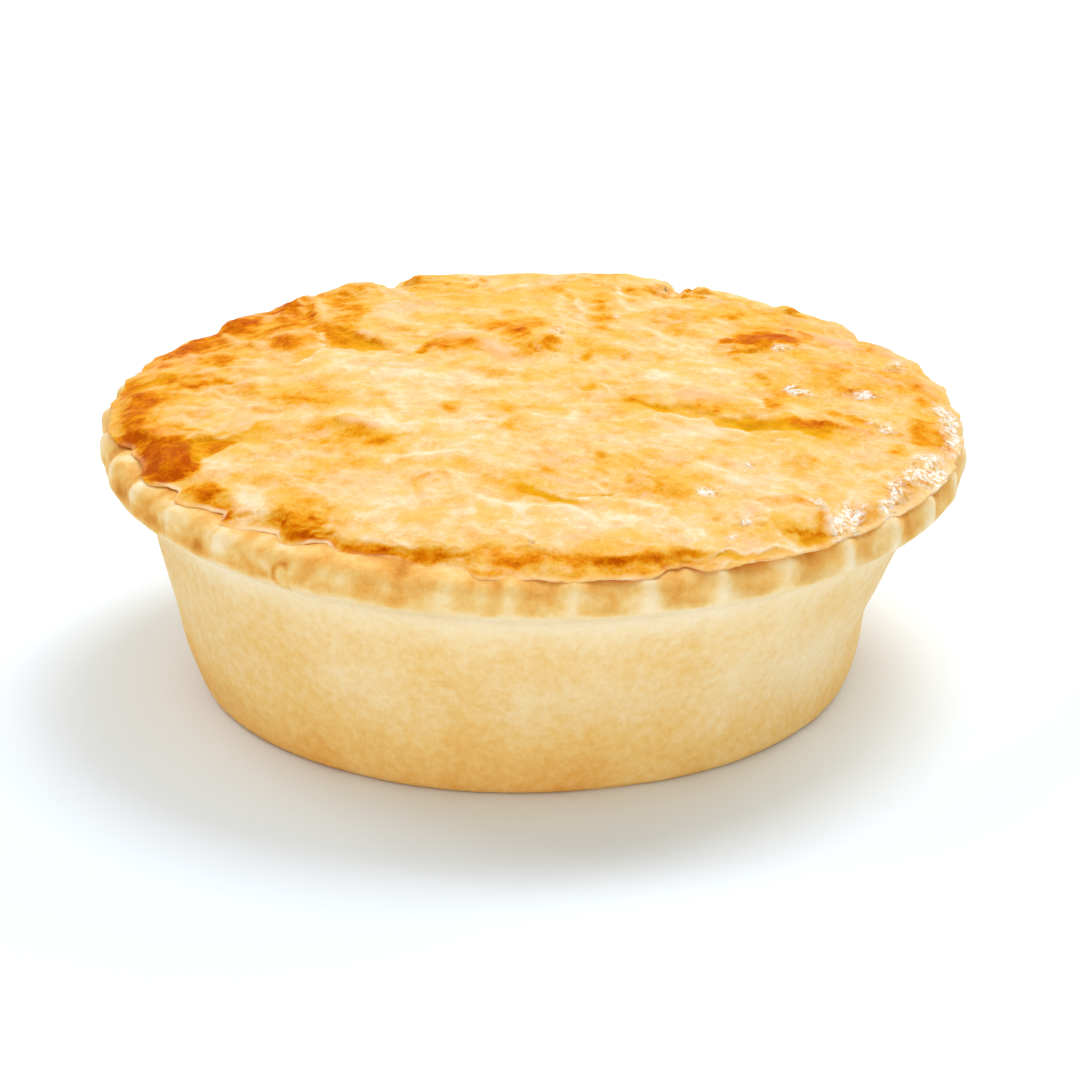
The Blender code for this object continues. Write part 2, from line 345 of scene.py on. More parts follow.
def scaled(material, source, low, high, to_low=0.0, to_high=1.0):
    """Bring a value from one range to another, and hold it there."""
    ranger = node(material, "ShaderNodeMapRange")
    feed(material, ranger, Value=source, From_Min=low, From_Max=high, To_Min=to_low, To_Max=to_high)
    return ranger.outputs["Result"]


def sums(material, operation, first, second):
    """Add or multiply two values."""
    made = node(material, "ShaderNodeMath", operation=operation)
    feed(material, made, _0=first, _1=second)
    return made.outputs["Value"]


def mottled(material, value, swing, size, detail, roughness=0.5):
    """Move a value up and down by this swing, in spots of this size."""
    spots = scaled(material, pattern(material, size, detail, roughness), 0.3, 0.7, -swing, swing)
    return sums(material, "ADD", value, spots)


def colour_ramp(material, source, stops):
    """Colour by value; the stops are (value, red, green, blue) in linear light."""
    ramp = node(material, "ShaderNodeValToRGB")
    elements = ramp.color_ramp.elements
    for element in list(elements)[1:]:
        elements.remove(element)
    for index, (value, *colour) in enumerate(stops):
        element = elements[0] if index == 0 else elements.new(value)
        element.position = value
        element.color = (*colour, 1.0)
    feed(material, ramp, Fac=source)
    return ramp.outputs["Color"]


def mixed(material, share, first, second):
    """Blend two colours: all of the first where the share is 0, all of the second where it is 1."""
    mix = node(material, "ShaderNodeMix", data_type="RGBA")
    feed(material, mix, _0=share, _6=first, _7=second)
    return mix.outputs[2]


def mark(material, name):
    """The value that the mesh's vertices carry under this name."""
    return node(material, "ShaderNodeAttribute", attribute_name=name).outputs["Fac"]


def bumps(material, source, depth, below=None):
    """Fine relief of this depth in millimetres."""
    bump = node(material, "ShaderNodeBump")
    feed(material, bump, Height=source, Distance=depth * MM)
    if below is not None:
        feed(material, bump, Normal=below)
    return bump.outputs["Normal"]


short_crust = bpy.data.materials.new("baked_short_crust")
short_crust.use_nodes = True
# The case's colour: its toast, with painted shade on the scoops and painted light under the rim.
toast = mottled(short_crust, mark(short_crust, "toasted"), swing=0.10, size=11.0, detail=4.0)
toast = mottled(short_crust, toast, swing=0.12, size=1.3, detail=5.0, roughness=0.7)
feed(
    short_crust,
    short_crust.node_tree.nodes["Principled BSDF"],
    Base_Color=colour_ramp(short_crust, toast, SHORT_CRUST_COLOURS),
    Roughness=SHORT_CRUST_ROUGHNESS,
    Specular_IOR_Level=SHORT_CRUST_SHINE,
    Normal=bumps(short_crust, pattern(short_crust, 0.8, 4.0, 0.7), 0.12),
)

bm = bmesh.new()
half_section = smooth_line(CASE_PROFILE, PROFILE_SPACING)
profile = [bm.verts.new((0.0, -radius, height)) for radius, height in half_section]
profile_edges = [bm.edges.new(pair) for pair in zip(profile, profile[1:])]
case_steps = FLUTE_COUNT * STEPS_PER_FLUTE
bmesh.ops.spin(
    bm,
    geom=profile + profile_edges,
    cent=(0.0, 0.0, 0.0),
    axis=(0.0, 0.0, 1.0),
    angle=2.0 * math.pi,
    steps=case_steps,
    use_merge=True,
)
bmesh.ops.holes_fill(bm, edges=[edge for edge in bm.edges if edge.is_boundary], sides=0)

turned = vertex_places(bm)
height = turned[:, 2]
radius = np.hypot(turned[:, 0], turned[:, 1])
phase = np.round(np.arctan2(turned[:, 0], -turned[:, 1]) / (2.0 * math.pi) * case_steps) / STEPS_PER_FLUTE
angle = FIRST_RIB_ANGLE + 2.0 * math.pi * phase / FLUTE_COUNT
angle += around_the_pie(angle, CROWDED_RIBS)
scoop = scoop_depth(phase)
top_drop = SCOOP_TOP_DROP * scoop + around_the_pie(angle, SUNK_RIM)
top_drop *= smooth_step(FLAT_TOP_RADIUS, RIM_RADIUS, radius)
height = height - top_drop * smooth_step(TOP_DROP_START_Z, RIM_CORNER_Z, height)
worn = 1.0 - around_the_pie(angle, WORN_RIBS)
fluting = worn * smooth_step(FLUTE_BOTTOM_Z, FLUTE_FULL_Z, height)
radius = radius - FLUTE_DEPTH * fluting * scoop
off_the_flats = (height > 0.0) & (turned[:, 2] < CASE_HEIGHT)
side_x = np.sin(angle) * radius
side_y = -np.cos(angle) * radius
unevenness = sum(depth * lumps(side_x, side_y, height, size) for depth, size in WALL_UNEVENNESS)
low = 1.0 - smooth_step(0.0, BASE_FLATTENING_TOP_Z, height)
flattening = BASE_SIDE_FLATTENING * low * np.sin(angle) ** BASE_FLATTENING_POWER
radius = radius + off_the_flats * unevenness - flattening
shift = BASE_SHIFT_X * (1.0 - smooth_step(SHIFT_START_Z, SHIFT_END_Z, height))
shift += WALL_SAG_X * bell(height - WALL_SAG_Z, WALL_SAG_SPREAD) * (height > 0.0)
move_vertices(bm, tilted(np.sin(angle) * radius + shift, -np.cos(angle) * radius, height))

from_left = smooth_step(0.0, 1.0, phase - np.floor(phase))
on_the_right = smooth_step(0.0, 0.6, angle) * (angle < 2.2)
rim_band = smooth_step(*RIM_BAND_Z, height + 0.5 * scoop)
in_the_rim = RIM_TOAST + worn * (SCOOP_TOAST * scoop + RIB_TOAST * (1.0 - scoop) ** 2)
# Painted shade: the left side of each scoop on the right-hand side is darker.
in_the_rim += SCOOP_LEFT_TOAST * scoop * (0.5 - from_left) * on_the_right
in_the_rim += RIM_MOTTLING * lumps(side_x, side_y, height, RIM_MOTTLE_SIZE)
toasted = WALL_TOAST + rim_band * in_the_rim
toasted += FOOT_TOAST * (1.0 - smooth_step(0.0, FOOT_TOP_Z, height))
# Painted light: paler under the rim's flare.
toasted += UNDER_RIM_TOAST * bell(height - UNDER_RIM_Z, UNDER_RIM_SPREAD)
toasted -= around_the_pie(angle, PALE_WALL) * (1.0 - smooth_step(*PALE_WALL_TOP_Z, height))
sheltered = SHELTERED_LINE_TOAST * bell(height - SHELTERED_LINE_Z, 1.0)
sheltered += SHELTERED_TOP_TOAST * smooth_step(*SHELTERED_TOP_Z, height)
sheltered += SHELTERED_MOTTLING * lumps(side_x, side_y, height, SHELTERED_MOTTLE_SIZE)
toasted += around_the_pie(angle, SHELTERED_RIM) * rim_band * sheltered
stain_across = wrapped(angle - STAIN_ANGLE) * RIM_RADIUS
from_stain = np.hypot(stain_across / STAIN_WIDTH, (height - STAIN_Z) / STAIN_HEIGHT) - 1.0
toasted += STAIN_TOAST * bell(from_stain, STAIN_LINE) * (stain_across < STAIN_END)
smeared = around_the_pie(angle, SMEARED_RIM) * smooth_step(*SMEAR_Z, height)
toasted += smeared * (1.0 + 1.5 * lumps(side_x, side_y, height, SMEAR_SIZE))
pastry_case = finish_piece("short_crust_case", bm, short_crust, toasted=toasted)
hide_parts("pastry_case")

# ---- the puff lid -------------------------------------------------------------------------------
# A round of puff pastry laid on the case and brushed with egg. It rose unevenly: thin layers slid and
# tore at the blisters, the glaze browned on what stood highest, and the cut edge curled off the rim.
LID_EDGE_RADIUS = 56.2
LID_EDGE_RISE = 0.9
LID_DOME_RISE = 3.4
LID_DOME_POWER = 2.4
LID_CELLS = 296
LID_MAP_RADIUS = 60.0               # the map on which the raggedness of the outline is drawn
RAGGEDNESS = 0.45                   # how ragged the outline is all round, and how much more on a curl
CURL_RAGGEDNESS = 0.55
EDGE_PULL_POWER = 6                 # how near the edge the outline's dents are felt
SETTLING_POWER = 4
EDGE_START = 0.93                   # share of the radius where the top begins to turn down
EDGE_DROP = 0.52
EDGE_DROP_POWER = 1.5
EDGE_CALM = 0.75
SLIDE_STOP = (0.96, 0.99)           # shares of the radius between which layers stop sliding
CURL_LIFT = 0.10
RIB_TRACE = 0.15                    # how high the rim's ribs show through, loose and pressed flush
FLUSH_RIB_TRACE = 0.60
RIB_TRACE_RADII = (46.0, 56.0)

# Broken layers: how softly they step, how much of the step stands up and how much sinks in, how far
# the lip slides out, and how soon they fade out at their ends, as the folds do.
STEP_SOFTNESS = 0.6
LIP_SHARE = 0.42
FOOT_SHARE = 0.26
SLIDE_SHARE = 0.6
SLIDE_REACH = 0.9
LAYER_EDGE_FADE = 0.18
FOLD_FADE = 0.25

# The thin layers of the puff that show on its swellings: the swellings' size and slice of the noise,
# how many layers each has, and how high a layer is.
PUFF_LAYERS = ((15.0, 0.0, 4.0, 0.16), (6.5, 50.0, 2.4, 0.13))

# Random unevenness of the lid's outline, its top, its wrinkled glaze and its bubbles, and of its
# browning: height or strength, slice of the noise, and lump size.
OUTLINE_LUMPS = ((0.45, 5.0, 2.6), (0.40, 6.0, 1.1))
TOP_LUMPS = ((0.26, 5.0, 5.0), (0.16, 7.0, 2.6))
WRINKLES = ((0.06, 9.0, 1.4), (0.03, 13.0, 0.8))
BUBBLES = ((0.16, 17.0, 0.9),)
PATCH_LUMPS = ((0.40, 90.0, 3.0), (0.40, 95.0, 1.3))
BAKE_LUMPS = ((0.10, 55.0, 12.0), (0.08, 68.0, 1.2))
BAKE_STREAKS = ((0.13, 60.0, 5.5), (0.10, 65.0, 2.6))

# Each swelling or hollow is an oval mound: middle x, middle y, half length, half width, turn of the
# length from +X in degrees, and height.
LID_MOUNDS = (
    (0.5, 20.0, 7.5, 4.5, 80, 1.5),        # large glossy blister behind the middle
    (-10.0, 16.5, 6.0, 3.0, 5, 0.9),
    (30.0, 21.0, 6.5, 3.8, 12, 0.9),       # darkest blister, back right
    (29.0, 15.5, 6.0, 2.6, 5, -0.3),
    (-23.0, 11.0, 9.5, 3.2, 4, 0.4),       # pale patch with a crisp upper edge
    (-24.0, 17.5, 6.0, 2.6, -30, -0.5),    # wedge-shaped hollow behind it
    (-31.0, 21.0, 4.0, 3.0, 60, 0.6),
    (-40.0, -16.5, 5.0, 2.4, -8, -0.5),    # shadowed pocket, front left
    (-38.0, -24.5, 7.0, 5.0, -20, 0.7),
    (-47.5, -19.0, 4.0, 5.5, 0, 0.9),      # darkest folded panel at the left edge
    (-50.0, -8.0, 3.5, 5.0, -20, 0.7),
    (-29.0, -40.0, 7.5, 5.0, -65, 0.9),    # orange-brown swelling, front left
    (-41.0, -32.0, 4.5, 4.0, -40, 0.5),
    (-16.0, -47.5, 10.0, 3.4, -6, 0.8),
    (15.0, -50.0, 9.0, 3.0, 8, 0.8),
    (2.0, -48.5, 5.0, 3.0, 0, 0.5),
    (32.5, -40.0, 7.0, 5.0, -50, 0.9),
    (44.0, -28.0, 5.0, 9.0, -25, 0.5),
    (44.0, 8.5, 9.0, 5.0, -12, 0.8),       # long swelling at the right
    (36.5, -10.5, 7.0, 3.4, -12, 0.8),
    (25.0, -5.0, 7.5, 2.8, -14, 0.45),     # upper lip of the ragged crack
    (22.0, -10.5, 9.0, 2.0, -24, -0.12),   # the crack itself
    (-29.0, -2.0, 6.0, 4.0, 10, 0.5),
    (-22.5, -14.5, 4.5, 2.4, -50, 0.45),
    (-22.0, -19.0, 4.0, 2.2, -35, -0.25),
    (-42.0, 16.0, 3.0, 5.0, 0, 0.5),
    (-4.0, -10.0, 4.0, 8.0, 10, 0.5),
    (6.0, -10.0, 3.0, 12.0, 4, -0.4),
    (3.5, -33.0, 6.0, 2.6, -28, 0.30),     # flap over the front slit
    (1.5, -37.0, 5.0, 1.8, -35, -0.15),
    (18.0, -31.0, 6.0, 4.0, 10, 0.5),
    (-12.0, -28.0, 9.0, 5.0, -10, -0.4),
    (14.0, 8.0, 12.0, 6.0, 8, -0.4),
    (-15.3, 49.5, 2.2, 4.5, 0, 1.1),       # scallops of the back edge
    (-11.3, 49.5, 2.2, 4.5, 0, 1.1),
    (-7.6, 50.0, 1.3, 5.0, 0, -0.6),
    (-28.0, 44.8, 3.6, 4.0, 35, 0.6),
    (-18.8, 47.5, 1.8, 6.0, 10, -0.8),
    (-23.5, 46.0, 3.0, 4.5, 20, 1.0),
    (-32.8, 41.0, 3.2, 5.0, 35, 0.9),
    (-40.5, 32.0, 3.0, 4.5, 50, 0.5),
    (-41.0, 29.0, 17.0, 6.0, 55, -0.9),    # the lid droops here, back left
    (-6.0, 50.0, 16.0, 6.0, 5, -0.5),
    (28.0, 43.0, 5.0, 5.0, 0, -0.5),
    (41.0, 35.0, 5.0, 5.0, 0, -0.6),
    (10.5, 48.5, 9.5, 6.0, 0, 1.1),
    (20.5, 46.5, 1.7, 6.0, -14, -1.6),
    (23.5, 47.0, 2.0, 5.0, -20, 1.0),
    (35.5, 39.0, 2.6, 4.0, -40, 1.0),
    (43.0, 30.0, 2.2, 4.5, -50, -0.4),
)

# Pits too small for the mounds: middle x, middle y, half length, half width, turn, height.
LID_PITS = (
    (6.8, 11.2, 0.8, 1.7, 0, -0.5),
    (7.0, -1.2, 0.9, 1.2, 0, -0.5),
    (-14.4, 14.6, 0.6, 1.6, 10, -0.6),
    (-12.6, 15.6, 1.2, 1.2, 0, 0.35),
    (16.3, -6.6, 2.2, 1.2, -20, -0.3),
    (28.0, -11.6, 2.4, 1.6, -30, -0.5),
    (-15.3, 22.2, 0.9, 0.9, 0, 0.4),
    (8.6, -35.3, 1.8, 0.7, 12, -0.5),
)

# Where a thin layer of the pastry ends in a crisp, ragged step: how high the step is, how far the
# lift reaches back into the layer, how far the hollow reaches below it, how much browner the lip is
# made, mostly paler for its bare torn dough and a painted highlight, how much painted shade darkens the
# foot, how far the lip overhangs, and the line, with the layer that stands higher on its left.
LAYER_EDGES = (
    (1.0, 3.0, 2.0, 0.15, 0.30, 0.3, ((-44.0, -21.0), (-44.1, -17.0), (-44.5, -13.6))),
    (0.45, 5.0, 2.5, -0.35, 0.25, 0.1, (
        (-47.0, -13.0), (-43.6, -14.8), (-40.0, -15.0), (-37.3, -14.4), (-36.0, -12.4), (-35.0, -9.0))),
    (0.7, 4.0, 2.0, -0.30, 0.15, 0.1, ((-37.0, -16.6), (-40.0, -19.0), (-44.2, -20.6))),
    (0.5, 3.0, 1.0, 0.05, 0.50, 0.2, ((-54.6, 1.5), (-52.8, 7.4), (-50.3, 10.2), (-46.0, 11.0))),
    (0.6, 4.0, 2.6, -0.15, 0.28, 0.1, (
        (-26.6, -9.6), (-24.0, -13.0), (-21.5, -15.2), (-18.0, -16.5), (-14.0, -15.6))),
    (0.6, 5.0, 1.2, -0.30, 0.30, 0.3, (
        (-18.0, 14.9), (-20.0, 15.1), (-23.0, 15.3), (-26.0, 15.9), (-28.3, 15.0), (-30.0, 13.2),
        (-33.0, 9.0))),
    (0.7, 2.4, 1.4, -0.40, 0.10, 0.2, ((-26.6, 15.6), (-27.8, 19.0), (-28.6, 22.6), (-28.2, 25.2))),
    (0.5, 5.0, 2.4, 0.00, 0.25, 0.1, (
        (-29.0, 24.6), (-26.5, 25.4), (-24.0, 22.0), (-22.0, 18.6), (-19.2, 15.2))),
    (0.5, 5.0, 1.6, -0.05, 0.25, 0.4, (
        (11.6, 0.5), (13.0, -4.3), (15.5, -6.3), (17.5, -5.6), (19.5, -6.5), (22.0, -7.6), (24.0, -8.3),
        (25.5, -9.6), (27.2, -9.0), (30.0, -9.8), (33.0, -11.2), (36.0, -10.8))),
    (0.4, 3.0, 1.6, -0.35, 0.15, 0.3, (
        (39.0, -17.5), (36.6, -15.4), (34.0, -13.6), (31.0, -14.2), (28.0, -14.6), (26.0, -13.0),
        (24.0, -10.6), (20.0, -9.6), (17.0, -8.4), (13.5, -7.0))),
    (0.5, 3.5, 1.4, -0.45, 0.50, 0.0, (
        (-2.0, -32.0), (0.4, -34.2), (2.2, -36.0), (4.0, -37.2), (6.6, -38.2))),
    (0.5, 2.0, 1.0, -0.35, 0.30, 0.3, ((11.0, -34.3), (9.0, -35.8), (6.4, -36.8), (4.2, -37.9))),
    (0.4, 3.0, 1.2, -0.20, 0.10, 0.1, ((10.9, -35.4), (9.4, -33.4), (8.4, -31.0))),
    (0.45, 3.0, 1.5, -0.35, 0.12, 0.2, (
        (34.6, -49.6), (31.2, -46.0), (30.0, -42.0), (29.4, -39.0), (28.0, -35.5))),
    (0.6, 3.0, 1.5, -0.45, 0.20, 0.4, (
        (22.0, -53.6), (24.2, -50.2), (27.2, -50.9), (30.4, -49.8), (34.6, -49.8))),
    (0.5, 3.0, 1.5, -0.40, 0.20, 0.4, ((23.0, -55.4), (26.2, -53.2), (29.8, -53.8), (34.0, -51.8))),
    (0.7, 3.0, 1.6, 0.20, 0.10, 0.2, (
        (26.0, 15.6), (27.4, 13.8), (29.0, 16.0), (31.0, 19.0), (33.0, 20.6), (36.6, 20.0))),
    (0.35, 2.0, 1.0, 0.00, 0.28, 0.1, ((-42.0, 7.2), (-39.8, 5.4), (-37.6, 2.6))),
    (0.35, 2.0, 0.8, 0.00, 0.25, 0.1, ((-47.4, -8.8), (-45.0, -10.4), (-42.4, -11.8))),
    (0.35, 2.0, 1.0, -0.30, 0.05, 0.1, ((30.5, -7.0), (30.4, -4.0), (30.1, -1.0))),
    (0.4, 4.0, 2.0, 0.05, -0.05, 0.1, ((26.0, 14.6), (28.8, 10.2), (31.0, 5.0), (31.4, -0.4))),
    (0.5, 3.0, 1.4, -0.20, 0.15, 0.2, ((33.4, 26.6), (35.8, 28.6), (37.8, 27.0), (38.6, 23.6))),
    (0.4, 3.0, 1.4, -0.10, 0.18, 0.2, ((-38.5, 26.5), (-36.5, 28.4), (-33.5, 28.6), (-31.0, 30.6))),
    (0.35, 3.0, 1.2, -0.20, 0.15, 0.2, ((-15.8, 12.6), (-15.4, 16.4), (-14.2, 19.6), (-10.0, 20.6))),
    (0.4, 3.0, 1.5, -0.10, 0.15, 0.2, ((-6.0, -4.4), (-1.0, -6.4), (4.0, -8.0), (5.0, -12.0))),
    (0.4, 3.0, 1.5, -0.15, 0.12, 0.2, ((40.0, -6.6), (43.0, -8.8), (46.4, -9.0), (48.6, -12.6))),
)

# Soft folds of the top layer: height, half width, how strong the pink painted sheen on their crests is,
# how much browner their crests are, paler where a painted highlight lies on them, and the line of the
# crest.
LID_FOLDS = (
    (0.2, 2.5, 0.15, 0.24, ((-31.5, -39.0), (-30.4, -44.4), (-24.6, -48.8), (-17.0, -51.8), (-8.0, -53.4))),
    (0.0, 1.8, 0.00, 0.26, (
        (-24.0, -52.4), (-14.0, -55.4), (-4.0, -57.2), (4.0, -57.6), (12.0, -57.2), (22.0, -55.4),
        (32.0, -52.4))),
    (0.1, 1.9, 0.15, 0.20, ((-12.0, -50.8), (-4.0, -51.8), (6.0, -52.0), (16.0, -51.4), (22.0, -49.4))),
    (0.2, 1.8, 0.25, 0.22, ((-54.0, 7.0), (-53.8, -1.0), (-52.6, -8.0), (-50.6, -14.5))),
    (0.0, 2.2, 0.80, 0.30, (
        (-52.5, 8.0), (-50.0, 17.0), (-45.4, 26.0), (-38.6, 35.6), (-33.0, 43.0), (-25.0, 49.0))),
    (0.0, 1.8, 0.10, 0.20, ((-43.8, -27.0), (-42.4, -31.5), (-39.8, -36.0), (-38.4, -40.6))),
    (0.6, 1.3, 0.8, 0.10, ((-31.3, 45.5), (-33.0, 40.0), (-33.8, 35.0), (-34.6, 30.5))),
    (0.5, 1.0, 0.3, -0.20, ((-30.2, 42.0), (-29.2, 33.0), (-28.2, 26.0))),
    (0.4, 1.2, 0.5, -0.12, ((-20.0, 46.0), (-18.0, 41.0), (-16.3, 36.0))),
    (0.5, 1.1, 0.4, -0.20, ((-43.8, 29.5), (-41.0, 24.5), (-38.4, 20.5), (-34.5, 17.5))),
    (0.4, 1.2, 0.7, 0.0, ((-46.0, 29.0), (-43.0, 32.0), (-40.4, 34.8))),
    (0.4, 1.2, 0.7, -0.05, ((-37.0, 22.5), (-31.5, 22.0), (-29.2, 24.2))),
    (0.4, 1.4, 0.5, -0.10, ((-24.0, 25.0), (-21.0, 20.0), (-18.6, 16.2))),
    (0.5, 1.6, 0.9, -0.10, ((-14.0, 20.4), (-9.0, 20.2), (-6.0, 17.0), (-4.6, 13.0), (-2.4, 9.6))),
    (0.5, 1.8, 0.8, 0.14, ((-53.0, -7.6), (-49.4, -11.6), (-44.6, -13.4))),
    (0.4, 1.0, 1.0, -0.10, ((-25.2, -10.2), (-22.2, -13.6), (-19.2, -15.4))),
    (0.2, 1.2, 1.0, -0.04, ((30.0, 31.0), (38.0, 26.4), (45.0, 19.0))),
    (0.2, 1.2, 0.9, -0.04, ((41.0, 32.6), (47.4, 24.0), (51.6, 15.0))),
    (0.2, 1.0, 0.9, 0.00, ((36.0, 12.8), (43.0, 11.6), (50.0, 7.0))),
    (0.3, 1.4, 0.9, -0.05, ((17.0, -0.6), (21.0, -1.6), (25.0, -2.6), (29.0, -2.8))),
    (0.4, 1.2, 0.6, 0.0, ((37.0, -9.6), (41.0, -11.4), (44.6, -13.4))),
    (0.4, 1.2, 0.7, -0.10, ((30.6, 36.4), (27.0, 37.4), (23.4, 40.6))),
    (0.4, 1.2, 0.8, -0.05, ((34.4, 34.6), (37.2, 32.0), (40.4, 29.0))),
    (0.4, 1.0, 0.5, -0.15, ((39.0, 27.4), (43.0, 22.6), (46.0, 18.6))),
    (0.4, 1.4, 0.8, 0.05, ((49.4, 10.0), (52.8, 7.0), (54.8, 2.6))),
    (0.3, 0.9, 0.2, -0.25, ((-14.0, -3.4), (-9.0, -8.0), (-6.0, -12.6), (-5.6, -18.0))),
    (0.3, 0.7, 0.0, -0.18, ((5.2, 47.0), (6.2, 38.0), (7.0, 30.0), (6.4, 23.6))),
    (0.25, 0.7, 0.0, -0.18, ((3.4, 42.0), (4.0, 34.0), (4.2, 27.0))),
    (0.25, 0.8, 0.0, -0.15, ((12.0, 48.0), (12.2, 38.0), (13.4, 29.0))),
    (0.3, 1.0, 0.0, -0.15, ((15.0, 26.0), (17.4, 20.0), (22.0, 15.6))),
    (0.3, 2.2, 0.0, -0.18, ((-33.0, 9.0), (-22.0, 5.0), (-11.0, 3.0), (0.0, 1.4))),
    (0.3, 1.6, 0.2, -0.15, ((-22.0, -12.0), (-16.6, -13.6), (-12.0, -12.6))),
    (0.3, 1.6, 0.0, -0.24, ((-37.4, -27.0), (-36.0, -31.0), (-35.2, -35.0), (-34.6, -40.0))),
    (0.4, 1.2, 0.2, 0.18, ((-31.4, -36.0), (-30.6, -41.0), (-29.8, -46.0))),
    (0.5, 1.0, 0.2, 0.10, ((27.6, -35.8), (32.0, -34.6), (35.8, -36.2), (37.2, -40.4), (35.4, -46.0))),
    (0.3, 0.7, 0.1, 0.12, ((-17.0, -31.6), (-13.0, -30.2), (-9.0, -31.0))),
    (0.3, 1.2, 0.3, -0.15, ((-52.4, 15.0), (-46.0, 17.6), (-40.0, 18.4))),
    (0.35, 1.0, 0.4, -0.10, ((-51.0, 3.4), (-45.0, 2.2), (-38.6, 3.6), (-35.0, 6.4))),
    (0.3, 1.0, 0.4, -0.12, ((-50.0, -2.6), (-43.6, -4.6), (-36.0, -3.8), (-31.0, -6.6))),
    (0.3, 0.9, 0.3, -0.12, ((-48.4, 8.4), (-42.6, 10.6), (-36.6, 9.4), (-34.0, 5.6))),
    (0.3, 1.2, 0.0, -0.20, ((4.6, -39.4), (9.0, -38.0), (14.0, -38.6), (18.6, -40.6))),
    (0.3, 1.0, 0.0, -0.20, ((-10.0, -36.0), (-4.6, -39.0), (1.0, -40.6), (7.0, -40.8))),
    (0.3, 1.3, 0.2, -0.15, ((19.6, -26.0), (24.0, -28.6), (26.4, -32.6))),
    (0.3, 1.2, 0.0, -0.15, ((31.0, -17.0), (35.0, -20.0), (37.0, -25.0))),
    (0.3, 1.0, 0.0, -0.18, ((-24.0, -22.4), (-18.0, -24.8), (-12.0, -23.6), (-6.6, -25.4))),
    (0.25, 1.0, 0.0, -0.15, ((8.0, -12.0), (7.6, -18.0), (10.4, -24.0), (9.6, -29.0))),
)
